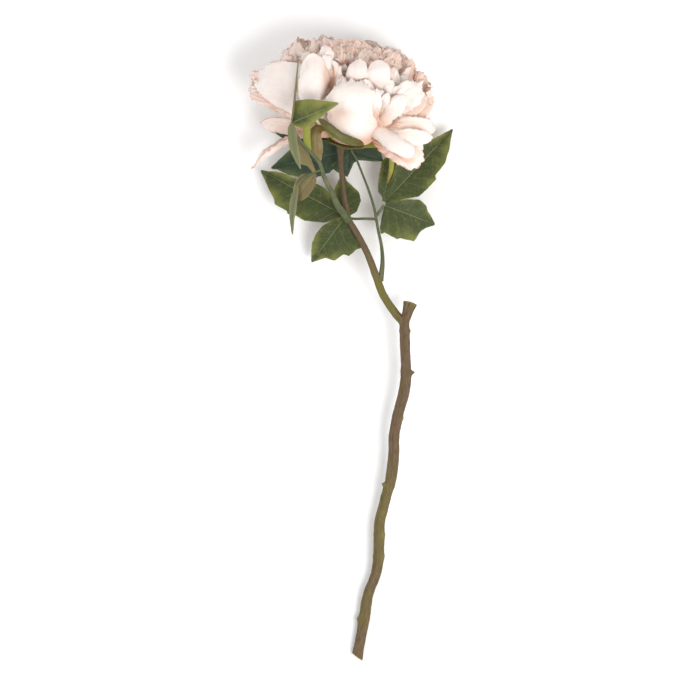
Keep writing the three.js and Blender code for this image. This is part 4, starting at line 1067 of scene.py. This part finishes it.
CUP_PROFILE = [[0, CUP_TOP], [16.5, CUP_TOP], [15.5, -0.6], [9, -2.8], [4.4, -4.4], [0, -4.4]]
CUP_SIDES, CUP_STEPS = 64, 40
SEPAL_ROWS, SEPAL_COLUMNS = 64, 24

# tone 0 is olive, 0.5 tan and 1 lime; tip=1 gives the sepal a brown tip, and ragged a torn edge
SEPALS = [
    # the olive one under the great front petal
    laid(-60, 0.1,
         [(14, 185, 52), (9, 186.5, 76), (0, 188.5, 94), (-11, 193.5, 102), (-21, 201.5, 104),
          (-30, 209, 104)],
         [1, 2.5, 4, 5, 4.5, 2], [1, 2.5, 3.5, 4, 4, 2]),
    # the lime one that hangs beside the tan one, both turned back
    laid(-50, 1.0,
         [(-14, 190, 54), (-29, 205, 68), (-38, 204, 74), (-39.5, 190, 70), (-36, 176, 63)],
         [2.5, 2.5, 2.5, 3.5, 0.8], [2.5, 3.5, 4, 4, 0.8]),
    laid(-24, 0.5,
         [(-12, 188, 52), (-23, 201, 64), (-30, 197, 68), (-31, 182, 65), (-28.5, 167, 58)],
         [2, 3, 4, 6, 1.5], [3, 5, 6, 6.5, 1.5], ragged=1),
    # the lime one that hangs on the right, with a brown tip
    laid(-45, 1.0,
         [(8, 183.5, 44), (24, 184, 50), (35, 177, 49), (36.5, 165, 44), (32.5, 149.5, 36)],
         [2, 2.5, 2.6, 2.2, 0.8], tip=1),
    # two short ones underneath
    laid(30, 0.0, [(-12, 190, 38), (-19, 200, 34), (-26, 208, 32)], [5, 8, 2]),
    laid(30, 0.0, [(3, 188.5, 33), (8, 195, 31.5), (12, 203, 31.5)], [5, 8, 2]),
]


def make_calyx(plastic):
    rng = random.Random(SEED + 2)
    piece = Piece()
    rings, angle = turned_profile(CUP_PROFILE, CUP_SIDES, CUP_STEPS)
    a = np.broadcast_to(angle[None, :], rings.shape[:2])
    flutes = 1 + 0.05 * np.sin(5 * a + 1) + 0.02 * np.sin(13 * a)
    rings[..., :2] *= flutes[..., None]
    up_cup = np.arange(CUP_STEPS)[:, None] / CUP_STEPS
    uvs = np.stack(np.broadcast_arrays(angle[None, :] / TURN, up_cup), -1)
    piece.rings(on_bloom(rings), tinted(rings.shape[:2], 0.1, 0, 0), uvs)
    for sepal in SEPALS:
        length, _ = laid_size(sepal)
        even_u, even_v = np.meshgrid(
            np.linspace(0, 1, SEPAL_ROWS), np.linspace(-1, 1, SEPAL_COLUMNS), indexing="ij")
        ragged = sepal.get("ragged", 0.2) * 0.08
        nicks = [ragged * teeth(rng, SEPAL_ROWS, 3)[:, None] for _ in range(2)]
        v = even_v * (1 + np.where(even_v < 0, *nicks) * np.abs(even_v) ** 6)
        u = even_u * (1 - 0.08 * even_v**2)
        points, face, half = laid_surface(sepal, u, v)
        x, y = u * length, v * half
        relief = 0.22 * ripples(rng, x, y, 9) - 0.35 * np.exp(-np.abs(y) / 0.7)
        points = points + face * relief[..., None]
        brown = sepal.get("tip", 0) * np.clip((even_u - 0.78) / 0.2, 0, 1)
        # the third channel paints shade over the half of each sepal towards one edge, as its shaded
        # side
        colors = tinted(u.shape, sepal["tone"], brown, np.clip(even_v, 0, 1))
        piece.shell(points, BLADE_THICKNESS, colors, np.stack([x, y], -1) / UV_SIZE)
    piece.build("calyx_cup_and_sepals", [plastic], "sepals", "calyx")


# ---- materials

class Nodes:
    """Short names for the shader nodes that the materials use."""

    def __init__(self, name):
        self.material = bpy.data.materials.new(name)
        self.material.use_nodes = True
        self.tree = self.material.node_tree
        self.shader = self.tree.nodes["Principled BSDF"]

    def new(self, kind, **settings):
        node = self.tree.nodes.new(kind)
        for key, value in settings.items():
            setattr(node, key, value)
        return node

    def put(self, value, socket):
        if isinstance(value, bpy.types.NodeSocket):
            self.tree.links.new(value, socket)
        elif isinstance(value, (tuple, list)) and len(socket.default_value) == 4:
            socket.default_value = (*value, 1)
        else:
            socket.default_value = value

    def math(self, operation, a, b=0.0):
        node = self.new("ShaderNodeMath", operation=operation)
        self.put(a, node.inputs[0])
        self.put(b, node.inputs[1])
        return node.outputs[0]

    def times(self, a, b):
        return self.math("MULTIPLY", a, b)

    def plus(self, a, *more):
        for b in more:
            a = self.math("ADD", a, b)
        return a

    def about_zero(self, noise, size):
        """A noise from 0 to 1, moved to lie about zero and scaled to the given size."""
        return self.times(self.math("SUBTRACT", noise, 0.5), size)

    def highest(self, a, b):
        return self.math("MAXIMUM", a, b)

    def zigzag(self, value):
        """Rises from 0 to a half and falls back, once for each unit."""
        return self.math("PINGPONG", value, 0.5)

    def tint(self):
        node = self.new("ShaderNodeAttribute", attribute_name="tint")
        split = self.new("ShaderNodeSeparateColor")
        self.tree.links.new(node.outputs["Color"], split.inputs[0])
        return split.outputs[:3]

    def surface(self):
        node = self.new("ShaderNodeUVMap", uv_map="UVMap")
        split = self.new("ShaderNodeSeparateXYZ")
        self.tree.links.new(node.outputs[0], split.inputs[0])
        return split.outputs[:2]

    def place(self):
        return self.new("ShaderNodeTexCoord").outputs["Object"]

    def stretched(self, x, y, across=1.0, along=1.0):
        """A place on the surface, scaled by its own share in each direction."""
        node = self.new("ShaderNodeCombineXYZ")
        for value, scale, socket in zip((x, y), (across, along), node.inputs):
            self.put(value if scale == 1.0 else self.times(value, scale), socket)
        return node.outputs[0]

    def noise(self, vector, scale, detail=4.0, roughness=0.55):
        node = self.new("ShaderNodeTexNoise")
        self.put(vector, node.inputs["Vector"])
        for name, value in (("Scale", scale), ("Detail", detail), ("Roughness", roughness)):
            self.put(float(value), node.inputs[name])
        return node.outputs[0]

    def cells(self, vector, scale):
        node = self.new("ShaderNodeTexVoronoi", feature="DISTANCE_TO_EDGE")
        self.put(vector, node.inputs["Vector"])
        self.put(float(scale), node.inputs["Scale"])
        return node.outputs["Distance"]

    def span(self, value, low, high, to_low=0.0, to_high=1.0):
        node = self.new("ShaderNodeMapRange", clamp=True, interpolation_type="SMOOTHSTEP")
        for entry, socket in zip((value, low, high, to_low, to_high), node.inputs):
            self.put(entry, socket)
        return node.outputs[0]

    def mix(self, share, a, b):
        node = self.new("ShaderNodeMix", data_type="RGBA")
        self.put(share, node.inputs[0])
        self.put(a, node.inputs[6])
        self.put(b, node.inputs[7])
        return node.outputs[2]

    def over(self, color, paint, value, low, high, most=1.0):
        """Paints over a colour where the value nears high, by the given share at most."""
        return self.mix(self.span(value, low, high, 0.0, most), color, paint)

    def bump(self, height, distance, strength=0.5):
        node = self.new("ShaderNodeBump")
        node.inputs["Strength"].default_value = strength
        node.inputs["Distance"].default_value = distance
        self.put(height, node.inputs["Height"])
        self.put(node.outputs[0], self.shader.inputs["Normal"])

    def finish(self, color, roughness, **constants):
        self.put(color, self.shader.inputs["Base Color"])
        self.put(roughness, self.shader.inputs["Roughness"])
        for key, value in constants.items():
            socket = self.shader.inputs[key.replace("_", " ").title().replace("Ior", "IOR")]
            socket.default_value = value
        return self.material


CREAM, BLUSH, BEIGE_AND_SHADE = (0.880, 0.805, 0.765), (0.860, 0.745, 0.690), (0.79, 0.54, 0.42)
PEACH_SHADE, FIBRE, FRAYED = (0.74, 0.42, 0.27), (0.74, 0.58, 0.50), (0.58, 0.31, 0.20)


def petal_cloth():
    """Thin matt cloth: creamy white, painted peach shade towards the claw, brownish pink on the
    ragged rim.
    """
    n = Nodes("petal_cloth")
    rim, depth, tone = n.tint()
    x, y = n.surface()
    color = n.over(CREAM, BLUSH, n.noise(n.place(), 28, 3), 0.35, 0.75)
    # beige by tone: partly the back petals' own colour, partly painted shade of the deep petals
    color = n.over(color, BEIGE_AND_SHADE, tone, 0.0, 1.0, 0.85)
    # painted peach shade towards the claw, deep in the bloom
    color = n.over(color, PEACH_SHADE, depth, 0.0, 0.8, 0.9)
    fibres = n.noise(n.stretched(x, y, 14.0, 190.0), 1.0, 3)
    color = n.over(color, FIBRE, fibres, 0.45, 0.8, 0.22)
    color = n.over(color, FRAYED, rim, 0.2, 0.85, 0.75)
    weave = n.noise(n.place(), 2600, 2)
    creases = n.noise(n.place(), 170, 4, 0.6)
    n.bump(n.plus(creases, n.plus(n.times(weave, 0.10), n.times(fibres, 0.30))), 0.0012, 0.35)
    return n.finish(color, n.span(creases, 0.3, 0.7, 0.78, 0.92), subsurface_weight=0.35,
                    subsurface_radius=(0.012, 0.0060, 0.0040), sheen_weight=0.15,
                    sheen_roughness=0.6, specular_ior_level=0.2)


# The middle, margin and veins of each leaf cloth, how much the veins show, and their relief.
LEAF_CLOTHS = dict(
    upper=((0.042, 0.058, 0.016), (0.215, 0.225, 0.050), (0.30, 0.33, 0.13), 0.5, -0.6),
    shaded=((0.024, 0.044, 0.026), (0.095, 0.130, 0.045), (0.16, 0.21, 0.11), 0.4, -0.6),
    bleached=((0.155, 0.170, 0.075), (0.255, 0.245, 0.110), (0.32, 0.33, 0.18), 0.3, -0.6),
    under=((0.17, 0.135, 0.055), (0.25, 0.20, 0.085), (0.32, 0.27, 0.13), 0.5, 0.6),
)
VEIN_WIDTH = 0.035  # of the lateral veins and their forks, as a share of their gap


def leaf_cloth(name, centre, margin, vein_color, vein_share, vein_relief):
    """Printed leaf cloth: a dark middle, a lighter margin and fine pale veins."""
    n = Nodes(name)
    edge, along, light = n.tint()
    s, w = n.surface()
    half = n.math("ABSOLUTE", w)
    clouds = n.noise(n.place(), 60, 4)
    rise = n.plus(n.times(edge, 0.5), n.times(along, 0.35), n.about_zero(light, 0.9),
                  n.about_zero(clouds, 1.1))
    color = n.over(centre, margin, rise, 0.35, 1.05)
    color = n.over(color, margin, n.noise(n.place(), 260, 3), 0.5, 0.8, 0.3)
    # the lateral veins leave the rib at even gaps, sweep forwards and bend a little
    swept = n.math("SUBTRACT", s, n.times(half, VEIN_SWEEP))
    drift = n.about_zero(n.noise(n.stretched(s, w), 4, 2), 0.06)
    bent = n.plus(swept, drift, n.times(n.times(half, half), 1.6))
    laterals = n.span(n.zigzag(n.times(bent, UV_SIZE / VEIN_GAP)), 0.0, VEIN_WIDTH, 1.0, 0.0)
    forks = n.zigzag(n.times(n.plus(swept, n.times(half, 2.1)), 17.0))
    forks = n.times(n.span(forks, 0.0, VEIN_WIDTH, 0.45, 0.0), n.span(half, 0.03, 0.08))
    rib = n.span(half, 0.0015, 0.005, 1.0, 0.0)
    net = n.span(n.cells(n.stretched(s, w), 60), 0.0, 0.08, 0.13, 0.0)
    fading = n.span(edge, 0.55, 1.0, 0.8, 0.3)
    veins = n.highest(n.highest(n.times(laterals, fading), rib), n.highest(forks, net))
    color = n.mix(n.times(veins, vein_share), color, vein_color)
    grain = n.noise(n.place(), 1500, 2)
    relief = n.plus(n.times(veins, vein_relief), n.plus(n.times(grain, 0.25), n.times(clouds, 0.6)))
    n.bump(relief, 0.0006)
    return n.finish(color, n.span(clouds, 0.3, 0.7, 0.48, 0.66), sheen_weight=0.08,
                    specular_ior_level=0.25, subsurface_weight=0.05,
                    subsurface_radius=(0.002, 0.003, 0.001))


BROWN_BARK, OLIVE_BARK = (0.150, 0.088, 0.056), (0.105, 0.076, 0.030)
GREEN_BARK = (0.150, 0.135, 0.026)
RIDGE_HIGHLIGHT, GROOVE_SHADE = (0.27, 0.18, 0.125), (0.040, 0.026, 0.014)
KNOT_BARK, CUT_WOOD = (0.26, 0.22, 0.08), (0.52, 0.46, 0.18)


def bark_plastic():
    """Moulded bark: mauve brown and olive in long streaks, painted shade in the grooves and painted
    highlight on the ridges, green at young parts.
    """
    n = Nodes("bark_plastic")
    green, cut, knot = n.tint()
    a, d = n.surface()
    streaks = n.noise(n.stretched(a, d, 9.0, 5.0), 1.0, 5, 0.6)
    fine = n.noise(n.stretched(a, d, 34.0, 16.0), 1.0, 4, 0.6)
    color = n.over(BROWN_BARK, OLIVE_BARK, streaks, 0.35, 0.65)
    shift = n.plus(green, n.about_zero(n.noise(n.place(), 55, 3), 0.9))
    color = n.over(color, GREEN_BARK, shift, 0.2, 1.0, 0.9)
    # painted highlight on the ridges and painted shade in the grooves, where the bump rises and
    # falls
    color = n.over(color, RIDGE_HIGHLIGHT, fine, 0.52, 0.75, 0.5)
    color = n.over(color, GROOVE_SHADE, fine, 0.46, 0.30, 0.6)
    color = n.mix(n.times(knot, 0.25), color, KNOT_BARK)
    color = n.mix(cut, color, CUT_WOOD)
    n.bump(n.plus(fine, n.times(n.noise(n.place(), 700, 3), 0.35)), 0.0010, 0.6)
    return n.finish(color, n.span(fine, 0.3, 0.7, 0.66, 0.52), specular_ior_level=0.25)


def stalk_plastic():
    """Satin plastic, grey-green near the leaves and duller near the branch."""
    n = Nodes("stalk_plastic")
    along = n.tint()[0]
    lines = n.noise(n.stretched(*n.surface(), 16.0, 9.0), 1.0, 4)
    color = n.over((0.052, 0.068, 0.024), (0.105, 0.125, 0.050), lines, 0.35, 0.7)
    color = n.over(color, (0.20, 0.17, 0.09), n.noise(n.place(), 70, 3), 0.4, 0.75, 0.6)
    color = n.mix(n.times(along, 0.35), color, (0.13, 0.17, 0.095))
    n.bump(lines, 0.0006)
    return n.finish(color, n.span(lines, 0.3, 0.7, 0.46, 0.58), specular_ior_level=0.28)


OLIVE, LIT_OLIVE = (0.075, 0.075, 0.012), (0.125, 0.120, 0.025)
TAN, LIME = (0.205, 0.150, 0.050), (0.27, 0.28, 0.035)
BROWN_TIP, EDGE_SHADE = (0.19, 0.10, 0.025), (0.10, 0.07, 0.02)


def sepal_plastic():
    """Satin plastic: olive, tan or lime for each sepal, with painted shade towards one edge."""
    n = Nodes("sepal_plastic")
    tone, brown, edge = n.tint()
    lines = n.noise(n.stretched(*n.surface(), 10.0, 120.0), 1.0, 4)
    color = n.over(OLIVE, LIT_OLIVE, lines, 0.35, 0.7)
    color = n.over(color, TAN, tone, 0.0, 0.5)
    color = n.over(color, LIME, tone, 0.5, 1.0)
    color = n.mix(n.times(brown, 0.9), color, BROWN_TIP)
    # painted shade towards one edge of each sepal
    color = n.mix(n.times(edge, 0.25), color, EDGE_SHADE)
    n.bump(lines, 0.0004, 0.4)
    return n.finish(color, n.span(lines, 0.3, 0.7, 0.40, 0.55), specular_ior_level=0.4)


def floor_paint():
    """Plain pale floor with the faintest grain."""
    n = Nodes("floor_paint")
    grain = n.noise(n.place(), 30, 2)
    color = n.over((0.97, 0.97, 0.97), (0.985, 0.985, 0.985), grain, 0.3, 0.7)
    return n.finish(color, n.span(grain, 0.3, 0.7, 0.85, 0.9), specular_ior_level=0.1)


# ---- floor, lights and camera, in metres

FLOOR_REACH, FLOOR_PARTS = 5.0, 24
# name, place, size, power and colour of each lamp, and the point that both look at
LAMPS = [
    ("key", (0.75, -0.45, 1.7), 1.0, 23, (1, 0.99, 0.975)),
    ("fill", (-1.1, 0.3, 1.2), 1.2, 5, (0.98, 0.99, 1)),
]
LAMP_TARGET = (0, 0.1, 0.05)
WORLD_BRIGHTNESS = 0.72
FARTHEST_SEEN = 20


def make_floor():
    row = FLOOR_PARTS + 1
    line = np.linspace(-FLOOR_REACH, FLOOR_REACH, row)
    points = [(x, y, 0.0) for y in line for x in line]
    corners = [i * row + j for i in range(FLOOR_PARTS) for j in range(FLOOR_PARTS)]
    mesh = bpy.data.meshes.new("floor")
    mesh.from_pydata(points, [], [[c, c + 1, c + row + 1, c + row] for c in corners])
    mesh.materials.append(floor_paint())
    floor = bpy.data.objects.new("floor", mesh)
    bpy.context.scene.collection.objects.link(floor)


def make_lamp(name, place, size, power, color):
    light = bpy.data.lights.new(name, "AREA")
    light.shape = "DISK"
    light.size = size
    light.energy = power
    light.color = color
    lamp = bpy.data.objects.new(name, light)
    lamp.location = place
    bpy.context.scene.collection.objects.link(lamp)
    direction = Vector(np.array(LAMP_TARGET, float) - np.array(lamp.location))
    lamp.rotation_euler = direction.to_track_quat("-Z", "Y").to_euler()


def make_stage():
    make_floor()
    for lamp in LAMPS:
        make_lamp(*lamp)
    world = bpy.data.worlds.new("studio")
    world.use_nodes = True
    background = world.node_tree.nodes["Background"]
    background.inputs[0].default_value = (1, 1, 1, 1)
    background.inputs[1].default_value = WORLD_BRIGHTNESS
    bpy.context.scene.world = world
    bpy.context.scene.view_settings.view_transform = "Standard"


def make_camera():
    camera = bpy.data.cameras.new("camera")
    camera.sensor_width = SENSOR
    camera.lens = SENSOR * CAMERA_DISTANCE / (PHOTO_SCALE * PICTURE_PIXELS)
    camera.clip_end = FARTHEST_SEEN
    obj = bpy.data.objects.new("camera", camera)
    obj.location = (CAMERA_X * MM, 0, (CAMERA_DISTANCE + CAMERA_PLANE) * MM)
    bpy.context.scene.collection.objects.link(obj)
    bpy.context.scene.camera = obj


# ---- making

make_camera()
make_stage()

cloths = {name: leaf_cloth(f"leaf_cloth_{name}", *looks) for name, looks in LEAF_CLOTHS.items()}
make_bloom(petal_cloth())
make_calyx(sepal_plastic())
make_stem(bark_plastic())
make_stalks(stalk_plastic())
for name, node, blades, face in (
    ("left_leaf_cloth", "leaf_left", LEFT_LEAF, "upper"),
    ("right_leaf_cloth", "leaf_right", RIGHT_LEAF, "upper"),
    ("back_leaf_cloth", "leaf_back", BACK_LEAF, "shaded"),
    ("front_top_leaf_cloth", "leaf_front_top", TOP_LEAF, "upper"),
    ("front_side_leaf_cloth", "leaf_front_side", SIDE_LEAF, "upper"),
):
    make_leaf(name, node, blades, [cloths[face], cloths["under"], cloths["bleached"]])
